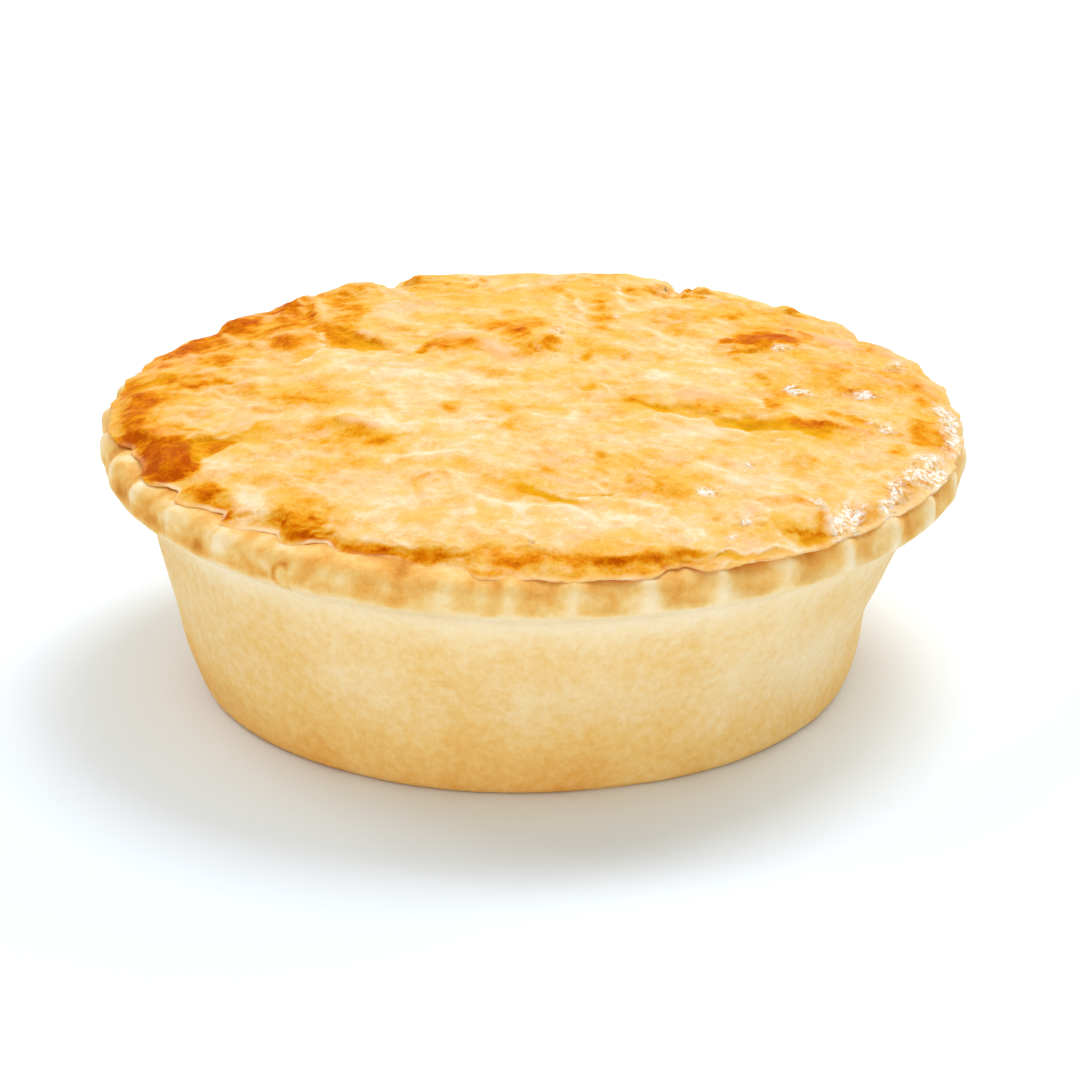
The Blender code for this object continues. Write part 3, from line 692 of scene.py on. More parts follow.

# Where the glaze baked browner or stayed paler, with painted shade on slopes and painted highlights on
# crests among them: middle x, middle y, half length, half width, turn in degrees, how much browner, and,
# where the patch ends sharply, how sharply.
BAKED_PATCHES = (
    # front left
    (-52.6, -12.6, 2.4, 2.8, 20, 0.47, 2),
    (-50.5, -9.6, 2.2, 3.0, -20, 0.18),
    (-52.5, -5.4, 1.5, 3.0, 0, 0.30),
    (-51.6, -1.5, 2.0, 2.6, 0, 0.24),
    (-47.3, -19.4, 4.0, 6.4, 4, 1.05, 3),
    (-48.2, -25.2, 2.0, 2.0, 0, 0.26),
    (-40.8, -17.2, 3.0, 2.0, -8, 0.40, 2),
    (-39.6, -16.8, 1.5, 1.2, 0, 0.10),
    # a painted highlight below the pocket
    (-39.4, -21.6, 3.6, 1.3, -5, -0.21),
    (-44.8, -11.0, 2.2, 0.6, -32, 0.21),
    (-40.0, -13.4, 0.9, 0.7, 0, 0.26),
    (-36.0, -11.6, 0.7, 1.4, -20, 0.19),
    (-30.4, -2.6, 3.8, 3.0, 0, 0.26),
    (-26.8, -12.0, 1.6, 2.2, 0, 0.19),
    (-24.0, -17.0, 1.8, 3.0, -25, 0.10, 2),
    (-19.6, -18.0, 2.0, 1.2, -20, 0.32),
    (-27.0, -18.4, 1.0, 1.0, 0, 0.15),
    (-10.4, -6.2, 1.3, 2.2, 0, 0.34),
    (-3.0, -8.5, 1.6, 2.2, 20, 0.24),
    (-2.4, -13.6, 1.2, 3.0, 5, 0.22),
    (-42.0, -30.6, 2.4, 3.0, 20, 0.36, 2),
    (-39.4, -37.8, 1.2, 2.8, 5, 0.38),
    (-32.0, -37.6, 1.4, 5.0, 0, 0.14),
    (-27.4, -39.4, 3.4, 6.2, 10, 0.19),
    (-29.6, -42.6, 2.4, 3.4, 0, 0.13),
    (-25.0, -47.6, 4.6, 2.2, -25, 0.22),
    (-19.6, -50.0, 4.2, 1.9, -12, 0.20),
    (-13.0, -52.4, 3.8, 2.2, -12, 0.18),
    (-7.4, -50.6, 2.0, 1.6, 0, 0.19),
    (-1.8, -52.9, 2.8, 2.1, 0, 0.31),
    (-24.6, -25.4, 5.0, 3.0, 0, 0.10),
    (-2.4, -34.4, 3.4, 1.6, -30, 0.17),
    # paler, the first a painted highlight
    (-35.9, -32.8, 1.7, 2.8, 0, -0.34),
    (-19.0, -38.0, 5.0, 3.4, 0, -0.13),
    (-6.0, -42.0, 6.0, 3.4, 0, -0.11),
    (-17.4, -10.6, 5.0, 3.2, 0, -0.15),
    (-12.0, -20.0, 6.0, 3.4, 0, -0.09),
    (-13.4, -1.6, 4.0, 2.4, 0, -0.09),
    (-37.0, -8.0, 4.0, 2.6, 0, -0.07),
    # front right
    (7.0, -1.2, 0.8, 1.1, 0, 0.25, 3),
    (25.0, -5.0, 5.6, 2.0, -12, 0.22),
    (23.4, -6.2, 1.8, 1.2, -20, 0.19),
    (32.0, -3.4, 2.2, 3.6, 0, 0.26, 2),
    (28.0, -11.2, 2.0, 1.8, -30, 0.25, 2),
    (16.2, -6.6, 2.0, 1.0, -20, 0.24, 2),
    (14.0, -4.6, 1.0, 1.2, 0, 0.21),
    (33.4, -11.0, 2.0, 1.6, 0, 0.18),
    (35.8, -10.4, 2.6, 1.7, -10, 0.56),
    (41.0, -11.4, 3.6, 1.4, -14, 0.24),
    (37.6, -14.2, 1.4, 2.2, 10, 0.30),
    (43.0, -9.2, 2.8, 1.8, -20, 0.27),
    (40.4, -6.8, 1.8, 1.4, 0, 0.21),
    (51.4, -9.0, 2.2, 3.0, 0, 0.40),
    (47.6, -17.0, 1.7, 1.7, 0, 0.38),
    (50.6, -13.6, 1.8, 1.6, 0, 0.28),
    (34.6, -43.0, 2.4, 2.2, 0, 0.28),
    (34.4, -46.6, 1.6, 1.4, 0, 0.26),
    (31.6, -36.4, 2.8, 1.2, 15, 0.17),
    (36.6, -39.0, 1.0, 2.0, 0, 0.19),
    (2.2, -29.2, 3.0, 2.0, -10, 0.31),
    (8.6, -35.3, 1.7, 0.6, 12, 0.26, 2),
    (1.6, -36.4, 3.8, 0.9, -38, 0.44, 2),
    (17.0, -32.0, 4.0, 2.6, 0, 0.20),
    (15.0, -14.6, 2.0, 2.2, 0, 0.10),
    (8.6, -24.4, 0.8, 4.0, -8, 0.19),
    (3.4, -53.1, 2.6, 2.1, 0, 0.25),
    (9.4, -53.6, 3.4, 2.1, 0, 0.17),
    (18.4, -51.4, 3.4, 2.2, 0, 0.32),
    (17.6, -54.4, 2.0, 1.4, 0, 0.28),
    (27.4, -52.2, 2.4, 0.8, 0, 0.24),
    (34.0, -23.0, 4.0, 3.0, 0, 0.09),
    (24.4, -18.4, 2.0, 1.2, 0, 0.10),
    (42.6, -22.0, 2.0, 3.0, 0, 0.12),
    # paler, the first a painted highlight
    (5.2, -11.6, 1.4, 2.2, 0, -0.19),
    (21.0, -16.0, 5.0, 3.0, 0, -0.12),
    (12.6, -20.0, 3.0, 3.0, 0, -0.07),
    (9.0, -42.6, 7.0, 3.0, 0, -0.13),
    (22.6, -42.0, 3.4, 4.0, 0, -0.12),
    (42.0, -28.0, 2.0, 3.4, 0, -0.12),
    (54.0, -14.0, 2.4, 6.0, 0, 0.20),
    (48.4, -28.4, 2.0, 5.4, -32, 0.24),
    (41.2, -38.4, 2.0, 5.0, -38, 0.22),
    (36.4, -46.4, 2.6, 2.2, 0, 0.16),
    # back left
    (-30.6, 37.4, 1.1, 6.0, 5, 0.20),
    (-35.0, 42.6, 0.9, 3.4, -15, 0.34),
    (-27.0, 41.0, 1.4, 4.0, 0, 0.29),
    (-32.0, 33.2, 1.1, 2.6, 0, 0.08),
    (-34.6, 28.2, 2.6, 1.2, 10, 0.26),
    (-24.6, 34.0, 1.8, 3.6, 0, 0.14),
    (-25.4, 28.4, 3.0, 3.0, 0, 0.19),
    (-40.0, 32.0, 2.0, 1.6, 30, 0.36),
    (-48.4, 21.8, 2.2, 3.6, 30, 0.38),
    (-44.0, 21.6, 2.4, 1.8, 0, 0.22),
    (-42.2, 16.0, 2.0, 3.0, -8, 0.31),
    (-33.2, 19.2, 2.4, 1.7, 0, 0.29),
    (-26.6, 22.6, 1.7, 2.4, 20, 0.22, 2),
    (-24.2, 18.0, 3.0, 1.9, -40, 0.16, 2),
    (-13.4, 17.4, 2.2, 2.6, 0, 0.38),
    (-9.6, 16.6, 3.2, 1.8, 0, 0.36),
    (-14.5, 14.4, 0.6, 1.6, 10, 0.30, 2),
    (-4.2, 24.8, 2.6, 2.4, 0, 0.31),
    (-1.4, 21.0, 1.8, 2.8, -15, 0.42),
    (-53.0, 4.4, 1.8, 4.6, 20, 0.31),
    (-47.0, 9.0, 4.4, 1.4, 0, 0.20),
    (-45.0, 5.4, 4.4, 1.4, 10, 0.26),
    (-50.6, 2.0, 3.0, 2.0, 0, 0.22),
    (-39.8, 5.6, 1.6, 0.7, -40, 0.24),
    (-4.4, 5.6, 3.4, 1.4, -10, 0.26),
    (-28.6, 1.6, 2.0, 0.8, 0, 0.13),
    (-14.0, 50.0, 2.6, 4.6, 0, 0.22),
    (-22.6, 46.4, 1.8, 2.8, 0, 0.20),
    (-8.4, 46.0, 1.0, 3.4, -10, 0.14),
    (-2.6, 42.0, 2.0, 2.0, 0, 0.14),
    (-9.0, 36.6, 1.4, 2.4, 0, 0.14),
    (-27.6, 10.2, 5.0, 2.8, 0, -0.13),
    (-17.0, 2.4, 6.0, 3.0, 0, -0.06),
    (-33.6, 25.0, 3.0, 1.8, 0, -0.16),
    (-38.0, 13.0, 2.4, 3.0, 0, -0.13),
    (-19.6, 33.0, 2.4, 4.0, 0, -0.13),
    (-35.6, 35.4, 1.3, 2.2, 0, -0.16),
    (-14.0, 26.0, 3.0, 3.0, 0, -0.09),
    (-46.0, 14.0, 2.0, 2.6, 0, -0.07),
    # back right
    (0.8, 25.0, 1.8, 2.6, 0, 0.24),
    (2.0, 17.0, 1.4, 4.0, 0, 0.22),
    (9.6, 27.0, 1.2, 7.6, 0, 0.26),
    (9.4, 38.0, 1.0, 5.0, 0, 0.17),
    (6.6, 11.2, 0.6, 1.6, 0, 0.38, 3),
    (33.2, 23.2, 3.8, 2.3, 4, 0.80, 2),
    (28.2, 20.6, 3.2, 1.9, 2, 0.62, 2),
    (29.4, 24.4, 2.4, 1.2, 30, 0.16),
    (35.6, 21.0, 1.0, 0.9, 0, 0.22),
    (27.6, 15.2, 0.8, 1.8, 0, 0.29),
    (22.8, 31.4, 3.0, 2.8, 0, 0.17),
    (28.0, 32.2, 1.0, 1.8, 0, 0.26),
    (27.6, 41.2, 1.8, 2.0, 0, 0.27),
    (35.0, 28.4, 0.9, 1.4, 0, 0.26),
    (37.4, 27.6, 0.8, 1.0, 0, 0.20),
    (36.0, 37.4, 1.6, 3.4, 0, 0.17),
    (39.0, 12.4, 3.0, 2.0, 0, 0.22),
    (46.4, 11.2, 3.4, 2.0, 0, 0.22),
    (50.6, 7.6, 2.0, 2.8, 0, 0.24),
    (43.4, 3.2, 2.6, 1.0, 15, 0.26),
    (34.0, 1.0, 1.4, 1.6, 0, 0.22),
    (52.4, 0.6, 1.6, 2.4, 0, 0.20),
    (17.4, 42.0, 2.4, 3.4, 0, 0.15),
    (10.4, 50.0, 2.2, 3.0, 0, 0.19),
    (1.0, 43.0, 1.6, 3.0, 0, 0.17),
    (23.6, 43.0, 0.8, 3.0, -10, 0.22),
    (40.4, 24.0, 1.4, 3.0, 0, 0.14),
    (45.6, 24.0, 2.0, 2.0, 0, 0.15),
    (17.6, 12.4, 1.8, 1.2, 0, 0.14),
    (20.6, 24.6, 1.2, 3.4, 0, 0.14),
    (-0.6, 14.0, 0.8, 2.4, 0, 0.17),
    (22.0, 17.0, 4.6, 1.8, 0, -0.15),
    (17.0, 4.6, 4.0, 2.4, 0, -0.14),
    # a painted glint in front of the dark blister
    (33.6, 17.8, 0.9, 1.8, -20, -0.27),
    (6.0, 6.0, 3.4, 2.4, 0, -0.07),
    (24.0, 9.0, 3.0, 3.0, 0, -0.08),
    (38.4, 7.0, 1.4, 1.2, 0, -0.10),
    # the broad cast of each side
    (-38.0, 28.0, 16.0, 14.0, 45, 0.29),
    (-50.0, 2.0, 10.0, 16.0, 0, 0.18),
    (-36.0, -34.0, 10.0, 10.0, 0, 0.10),
    (38.0, 26.0, 14.0, 14.0, 0, 0.18),
    (46.0, 2.0, 10.0, 12.0, 0, 0.08),
    (0.0, 40.0, 22.0, 14.0, 0, 0.05),
)

# Where the egg wash dried in tiny bright bubbles, and where painted glints lie on the glaze: middle x,
# middle y, half sizes, turn, strength.
BUBBLED_GLAZE = (
    (50.4, -22.4, 2.9, 5.2, -20, 1.0),
    (55.0, -11.4, 1.6, 6.5, 0, 0.8),
    (54.4, -3.0, 1.6, 4.0, 0, 0.9),
    (45.6, -33.4, 1.7, 6.6, -14, 1.0),
    (39.4, -40.6, 1.8, 7.4, -8, 1.0),
    (36.0, -36.0, 1.6, 2.4, 0, 0.8),
    (45.6, -10.2, 2.6, 2.2, 0, 0.85),
    (22.4, -33.6, 2.3, 2.5, 0, 0.8),
    (28.0, -24.4, 1.2, 1.2, 0, 0.7),
    (26.8, -42.0, 1.2, 1.4, 0, 0.8),
    (24.4, -46.4, 1.2, 1.4, 0, 0.6),
    (49.2, 14.8, 2.2, 3.2, 0, 0.9),
    (35.4, 1.4, 2.3, 2.8, 20, 0.9),
    (44.0, 2.2, 3.2, 1.6, 10, 0.8),
    (33.9, 18.0, 1.5, 2.1, -20, 0.85),
    (3.8, 22.0, 1.2, 1.8, 0, 0.9),
    (0.8, 14.4, 0.6, 1.6, 0, 0.7),
    (11.4, 30.2, 0.7, 1.2, 0, 0.8),
    (26.2, 41.0, 0.9, 1.4, 0, 0.8),
    (35.8, 29.0, 0.8, 1.2, 0, 0.7),
    (-29.4, -2.0, 3.0, 2.4, 0, 0.3),
    (-27.0, 28.0, 4.0, 3.0, 0, 0.25),
    (-23.0, 12.6, 4.0, 1.8, 0, 0.3),
    (-16.6, 42.4, 0.6, 2.0, 0, 0.6),
    (-0.6, -47.6, 0.5, 1.4, 0, 0.9),
    (51.6, -26.0, 2.0, 4.0, 0, 0.8),
)

# Hollows and pits given painted shade, a darker clear yellow: middle x, middle y, half sizes, turn,
# strength.
GILDED_HOLLOWS = (
    (1.6, -36.2, 3.8, 1.1, -38, 1.0),
    (8.6, -35.4, 1.8, 0.7, 12, 0.8),
    (17.0, -7.6, 4.0, 1.2, -20, 0.8),
    (27.2, -11.4, 3.6, 1.4, -20, 1.0),
    (33.0, -12.6, 4.0, 1.6, -15, 0.7),
    (37.0, -14.4, 2.0, 2.4, 0, 0.7),
    (7.0, -1.2, 1.1, 1.3, 0, 0.8),
    (6.8, 11.2, 0.9, 1.7, 0, 0.8),
    (-38.4, -13.4, 4.6, 1.3, -5, 0.4),
    (-24.0, 18.0, 4.0, 1.8, -40, 0.3),
    (-14.4, 14.6, 0.8, 1.6, 10, 0.5),
    (-35.0, -31.0, 1.2, 4.0, 0, 0.4),
    (-10.0, -6.0, 2.0, 1.6, 0, 0.5),
    (-3.0, -8.5, 1.6, 2.2, 20, 0.5),
    (26.6, -51.6, 4.0, 1.0, 5, 0.6),
    (35.0, -46.4, 2.0, 1.6, 0, 0.5),
)

# Stretches of the edge, each with a middle angle and a spread in degrees: how deep its outline is
# dented; how far it shrank in from the rim, or lies over it; how far it sank onto the rim; how far it is
# pressed flush round the rim's outer corner; and how thin and crisp it baked without tearing.
EDGE_DENTS = (
    (203.0, 2.2, 2.4),
    (157.0, 1.8, 3.2),
    (141.0, 2.6, 1.8),
    (123.0, 3.0, 2.2),
    (236.0, 4.0, 1.2),
)
EDGE_INSETS = (
    (-46.0, 32.0, 0.9),
    (-128.0, 26.0, 1.0),
    (60.0, 42.0, -0.9),
    (52.0, 10.0, 0.7),
    (-20.5, 12.5, 2.7),
)
EDGE_SETTLED = ((60.0, 45.0, 0.40), (-115.0, 30.0, 0.55), (-32.0, 42.0, 0.74))
EDGE_FLUSH = ((62.0, 40.0, 0.75), (0.0, 24.0, 0.45))
EDGE_CRISP = ((12.0, 24.0, 0.9), (-22.0, 10.0, 0.5))

# At the front left the shrinking lid tore free of one rib after the other: the angles where each tear
# starts, is deepest and ends, its depth, and how far its lip curled up.
EDGE_TEARS = (
    (-79.0, -74.0, -63.2, 1.8, 0.2),
    (-62.8, -58.5, -54.8, 1.8, 0.8),
    (-54.2, -48.4, -45.0, 2.1, 0.8),
    (-44.2, -38.4, -34.8, 1.8, 0.8),
    (-33.8, -30.6, -26.4, 1.8, 0.9),
    (-26.0, -20.0, -15.2, 0.6, 0.2),
    (-14.4, -11.0, -6.9, 1.6, 0.4),
    (-6.0, -1.0, 3.6, 0.6, 0.2),
    (4.0, 9.0, 13.0, 0.5, 0.0),
    (15.2, 19.4, 22.8, 1.9, 0.0),
    (25.0, 29.0, 33.0, 0.5, 0.0),
    (196.0, 200.0, 206.0, 0.8, 0.4),
    (216.0, 221.0, 226.0, 0.8, 0.4),
)

# Section of the edge from the top surface outwards: (outwards, downwards), as it lies flat on the
# rim and as it curls off it. Then, for each ring of it, how much darker it is made where it curled, the
# outer rings paler and those under the curl darker, and how bare of glaze it is where it tore.
FLAT_EDGE = ((0.10, 0.04), (0.17, 0.13), (0.17, 0.24), (0.05, 0.37), (-0.30, 0.48), (-0.90, 0.56))
CURLED_EDGE = ((0.12, 0.02), (0.20, 0.10), (0.18, 0.20), (0.02, 0.30), (-0.60, 0.42), (-1.60, 0.60))
RING_BAKE = np.array((-0.10, -0.15, -0.10, 0.10, 0.30, 0.30))
RING_BARENESS = np.array((1.0, 1.0, 0.9, 0.5, 0.2, 0.0))

# How much browner each place of the lid is, on a scale from pale at 0 to burnt at 1: its baking, with
# painted shade added on its slopes and below its broken layers. Above DARK_BAKE the browning slows down,
# so that it never reaches the scale's end.
PLAIN_BAKE = 0.31
PATCH_BAKE = 1.18
# Broken layers: their lips paler, partly bare torn dough and partly a painted highlight, and painted shade
# in the hollow at their foot.
LIP_BAKE = 0.7
LIP_LINE = (0.35, 0.5)              # how far behind a broken layer's edge, and its half width
FOOT_BAKE = 0.45
FOOT_GILDING = 1.6
FOOT_LINE = (-0.3, 0.7)             # the same in front of it, its half width as a share of the reach
TINT_SOFTNESS = 0.4
# Painted sheen: the pink on the folds' crests stands for the glaze's reflection.
BLUSH_FADE = (0.52, 0.80)           # the browning between which the pink of the folds is lost
TORN_BARENESS = 1.2
FLUSH_BARENESS = 0.5
BARE_SHARES = (0.984, 0.997)        # shares of the radius between which a torn edge is bare of glaze
RIB_BAKE = -0.20
# Painted shade: the lid is coloured darker on slopes that face the front and the left, away from the lamps.
FRONT_SLOPE_BAKE = 0.17             # on slopes that face the front and the left
SLOPE_TOWARDS_FRONT = (1.5, 2.55)   # how much a rise along +X and along +Y counts for that
# Painted shade: steep slopes are coloured darker.
STEEP_BAKE = 0.18
DARK_BAKE = 0.55
DARK_BAKE_ROOM = 0.43

PUFF_CRUST_COLOURS = (
    (0.00, 0.95, 0.770, 0.520),
    (0.16, 0.93, 0.645, 0.335),
    (0.34, 0.89, 0.540, 0.200),
    (0.50, 0.83, 0.425, 0.068),
    (0.65, 0.81, 0.335, 0.010),
    (0.80, 0.73, 0.215, 0.001),
    (1.00, 0.50, 0.080, 0.0002),
)
# Painted sheen on the folds.
FOLD_PINK = (0.94, 0.45, 0.22, 1.0)
GOLDEN_CAST = (0.87, 0.495, 0.068, 1.0)
ROSY_CAST = (0.92, 0.52, 0.30, 1.0)
# Painted shade in the hollows and pits.
HOLLOW_YELLOW = (0.80, 0.40, 0.006, 1.0)
BARE_DOUGH = (0.95, 0.72, 0.42, 1.0)
# Whitish dried egg, partly painted glints.
DRIED_EGG = (0.96, 0.91, 0.80, 1.0)
PUFF_CRUST_ROUGHNESS = 0.42
PUFF_CRUST_SHINE = 0.01
GLAZE_ROUGHNESS = 0.20


def uneven(x, y, rows):
    """The sum of random lumps with a height or strength, a slice of the noise, and a size."""
    return sum(amount * lumps(x, y, slice_z, size) for amount, slice_z, size in rows)


def ovals(x, y, rows):
    """The sum of oval bells with a place, half sizes, a turn, a strength, and perhaps a sharpness."""
    total = np.zeros_like(x)
    for middle_x, middle_y, length, width, turn, strength, *sharpness in rows:
        c = math.cos(math.radians(turn))
        s = math.sin(math.radians(turn))
        along = ((x - middle_x) * c + (y - middle_y) * s) / length
        across = ((y - middle_y) * c - (x - middle_x) * s) / width
        power = sharpness[0] if sharpness else 1
        total += strength * np.exp(-((along ** 2 + across ** 2) ** power))
    return total


def near_line(x, y, points, fade):
    """For each place: its distance from a broken line, above 0 on the line's left; how strong the line
    is there, as it fades out over this share of it at both ends; and the direction from the line."""
    points = np.array(points)
    steps = np.diff(points, axis=0)
    lengths = np.hypot(*steps.T)
    passed = np.concatenate(((0.0,), np.cumsum(lengths)))
    distance = np.full_like(x, np.inf)
    side, along, off_x, off_y = (np.zeros_like(x) for _ in range(4))
    for start, step, length, before in zip(points, steps, lengths, passed):
        from_x = x - start[0]
        from_y = y - start[1]
        share = np.clip((from_x * step[0] + from_y * step[1]) / length ** 2, 0.0, 1.0)
        to_x = from_x - share * step[0]
        to_y = from_y - share * step[1]
        away = np.hypot(to_x, to_y)
        closer = away < distance
        distance = np.where(closer, away, distance)
        side = np.where(closer, np.sign(step[0] * from_y - step[1] * from_x), side)
        along = np.where(closer, (before + share * length) / passed[-1], along)
        off_x = np.where(closer, to_x, off_x)
        off_y = np.where(closer, to_y, off_y)
    strength = smooth_step(0.0, fade, along) * smooth_step(0.0, fade, 1.0 - along)
    unit = 1.0 / np.maximum(distance, 1e-6)
    return distance * side, strength, off_x * unit, off_y * unit


def edge_phase(angle):
    """Which flute of the rim the angle falls in, counted in flutes from the first rib."""
    uncrowded = angle - around_the_pie(angle, CROWDED_RIBS)
    return (uncrowded - FIRST_RIB_ANGLE) * FLUTE_COUNT / (2.0 * math.pi)


def edge_tears(angle, column):
    """The sum, at each angle, of what the tears' column gives in their deepest places."""
    total = 0.0
    for row in EDGE_TEARS:
        start, deepest, end = (math.radians(value) for value in row[:3])
        from_start = wrapped(angle - start) / (deepest - start)
        from_end = wrapped(end - angle) / (end - deepest)
        total = total + row[column] * smooth_step(0.0, 0.8, np.minimum(from_start, from_end))
    return total


def lid_edge_radius(angle):
    """Outline of the lid: it follows the flutes a little, with dents, tears and drawn-in stretches."""
    radius = LID_EDGE_RADIUS - 0.4 * FLUTE_DEPTH * scoop_depth(edge_phase(angle))
    radius = radius - around_the_pie(angle, EDGE_INSETS) - around_the_pie(angle, EDGE_DENTS)
    return radius - edge_tears(angle, 3)


def edge_curl(angle):
    """How far the edge curls off the rim."""
    return np.clip(edge_tears(angle, 4) + around_the_pie(angle, EDGE_CRISP), 0.0, 1.0)


def terraces(level, flaky):
    """A smooth rise where it isn't flaky, and thin layers, one for each whole number, where it is."""
    layer = np.floor(level)
    return level + flaky * (layer + smooth_step(0.70, 1.0, level - layer) - level)


bm = bmesh.new()
bmesh.ops.create_grid(bm, x_segments=LID_CELLS, y_segments=LID_CELLS, size=1.0)
u, v, _ = vertex_places(bm).T
a = math.sqrt(2.0) * np.sin(math.pi * u / 4.0) * np.cos(math.pi * v / 4.0)
b = math.sqrt(2.0) * np.sin(math.pi * v / 4.0) * np.cos(math.pi * u / 4.0)
share = np.minimum(np.hypot(a, b), 1.0)
angle = np.arctan2(a, -b)
curl = edge_curl(angle)
outline = lid_edge_radius(angle)
ragged = uneven(LID_MAP_RADIUS * a, LID_MAP_RADIUS * b, OUTLINE_LUMPS)
outline += (RAGGEDNESS + CURL_RAGGEDNESS * curl) * ragged
radius = share * (LID_EDGE_RADIUS + (outline - LID_EDGE_RADIUS) * share ** EDGE_PULL_POWER)
x = np.sin(angle) * radius
y = -np.cos(angle) * radius

scoop = scoop_depth(edge_phase(angle))
flush = around_the_pie(angle, EDGE_FLUSH)
rib_trace = (1.0 - scoop) * smooth_step(*RIB_TRACE_RADII, radius) * (1.0 - curl)
rib_trace *= RIB_TRACE + FLUSH_RIB_TRACE * flush
at_edge = smooth_step(EDGE_START, 1.0, share)
settled = around_the_pie(angle, EDGE_SETTLED) * share ** SETTLING_POWER
settled += (EDGE_DROP + flush) * (1.0 - 0.3 * curl) * at_edge ** EDGE_DROP_POWER
lifted = CURL_LIFT * curl * at_edge
plain_dome = CASE_HEIGHT + CONTACT_GAP + LID_EDGE_RISE + LID_DOME_RISE * (1.0 - share ** LID_DOME_POWER)
edge_calm = 1.0 - EDGE_CALM * at_edge
slide_calm = 1.0 - smooth_step(*SLIDE_STOP, share)

# The places in the lists were read off the pie from the front, as if its lid were a plain dome. What
# stands higher looks farther back from there, so each round draws the mounds by the last one's heights.
HIGHER_LOOKS_FARTHER = 2.475
HEIGHT_ROUNDS = 6
LINE_WANDERING = ((3.2, 1.1), (1.2, 0.6))       # what is drawn comes out ragged: lump size and reach


def as_drawn(x, y, height, plain_height):
    """Where a point falls in the lists' own map of the lid, with ragged lines."""
    y = y + HIGHER_LOOKS_FARTHER * (height * (1.0 + RIM_TILT * x / CASE_HEIGHT) - plain_height)
    for size, reach in LINE_WANDERING:
        x, y = x + reach * lumps(x, y, 11.0, size), y + reach * lumps(x, y, 47.0, size)
    return x, y


def bubbling(x, y):
    """How far the glaze dried in bubbles, with painted glints among them, from 0 to 1."""
    return smooth_step(0.25, 0.75, ovals(x, y, BUBBLED_GLAZE))


top = plain_dome
for _ in range(HEIGHT_ROUNDS):
    rough_x, rough_y = as_drawn(x, y, top, plain_dome)
    mounds = ovals(rough_x, rough_y, LID_MOUNDS)
    top = plain_dome - settled + mounds * edge_calm
relief = mounds + ovals(rough_x, rough_y, LID_PITS)
flaky = smooth_step(-0.25, 0.20, lumps(x, y, 80.0, 9.0))
for size, slice_z, layers, layer_height in PUFF_LAYERS:
    relief += layer_height * terraces(layers * lumps(rough_x, rough_y, slice_z, size), flaky)
shift_x = np.zeros_like(x)
shift_y = np.zeros_like(x)
for step, reach, foot_reach, _, _, overhang, points in LAYER_EDGES:
    distance, strength, off_x, off_y = near_line(rough_x, rough_y, points, LAYER_EDGE_FADE)
    high = smooth_step(-STEP_SOFTNESS, STEP_SOFTNESS, distance)
    lift = high * np.exp(-np.maximum(distance, 0.0) / reach)
    sink = (1.0 - high) * np.exp(np.minimum(distance, 0.0) / foot_reach)
    relief += step * strength * (LIP_SHARE * lift - FOOT_SHARE * sink)
    slide = SLIDE_SHARE * overhang * strength * high * np.exp(-np.maximum(distance, 0.0) / SLIDE_REACH)
    shift_x -= slide * off_x
    shift_y -= slide * off_y
for height_of_fold, half_width, _, _, points in LID_FOLDS:
    distance, strength, _, _ = near_line(rough_x, rough_y, points, FOLD_FADE)
    relief += height_of_fold * strength * bell(distance, half_width)
relief += uneven(x, y, TOP_LUMPS)
wrinkled = uneven(x, y, WRINKLES) + bubbling(rough_x, rough_y) * uneven(x, y, BUBBLES)
top = plain_dome - settled + relief * edge_calm + wrinkled + rib_trace + lifted
move_vertices(bm, np.stack((x + shift_x * slide_calm, y + shift_y * slide_calm, top), axis=1))

loop = [edge for edge in bm.edges if edge.is_boundary]
flat_before = curled_before = (0.0, 0.0)
for flat_now, curled_now in zip(FLAT_EDGE, CURLED_EDGE):
    flat_step = np.subtract(flat_now, flat_before)
    curled_step = np.subtract(curled_now, curled_before)
    new = bmesh.ops.extrude_edge_only(bm, edges=loop)["geom"]
    for vert in [item for item in new if isinstance(item, bmesh.types.BMVert)]:
        flat_radius = math.hypot(vert.co.x, vert.co.y)
        share_curled = float(edge_curl(math.atan2(vert.co.x, -vert.co.y)))
        outwards, downwards = flat_step + share_curled * (curled_step - flat_step)
        vert.co.x *= 1.0 + outwards / flat_radius
        vert.co.y *= 1.0 + outwards / flat_radius
        vert.co.z -= downwards
    loop = [item for item in new if isinstance(item, bmesh.types.BMEdge) and item.is_boundary]
    flat_before, curled_before = flat_now, curled_now
bmesh.ops.holes_fill(bm, edges=loop, sides=0)
lid_places = vertex_places(bm)
move_vertices(bm, tilted(*lid_places.T))

# How brown each place is, with painted shade on its slopes and below its broken layers; how strong the
# pink painted sheen of its folds is; how much darker yellow painted shade lies in its hollows; where the
# glaze bubbled, with painted glints; and where it lost its glaze, for the top and for the rings of the
# edge.
edge_places = lid_places[len(x):]
edge_angle = np.arctan2(edge_places[:, 0], -edge_places[:, 1])
ring = np.repeat(np.arange(len(FLAT_EDGE)), len(edge_places) // len(FLAT_EDGE))
x = np.concatenate((x, edge_places[:, 0]))
y = np.concatenate((y, edge_places[:, 1]))
edge_rough_x, edge_rough_y = as_drawn(*edge_places.T, plain_dome.min())
rough_x = np.concatenate((rough_x, edge_rough_x))
rough_y = np.concatenate((rough_y, edge_rough_y))
patchy = 1.0 + uneven(x, y, PATCH_LUMPS)
browned = PLAIN_BAKE + PATCH_BAKE * patchy * ovals(rough_x, rough_y, BAKED_PATCHES)
blushed = np.zeros_like(x)
gilded = ovals(rough_x, rough_y, GILDED_HOLLOWS)
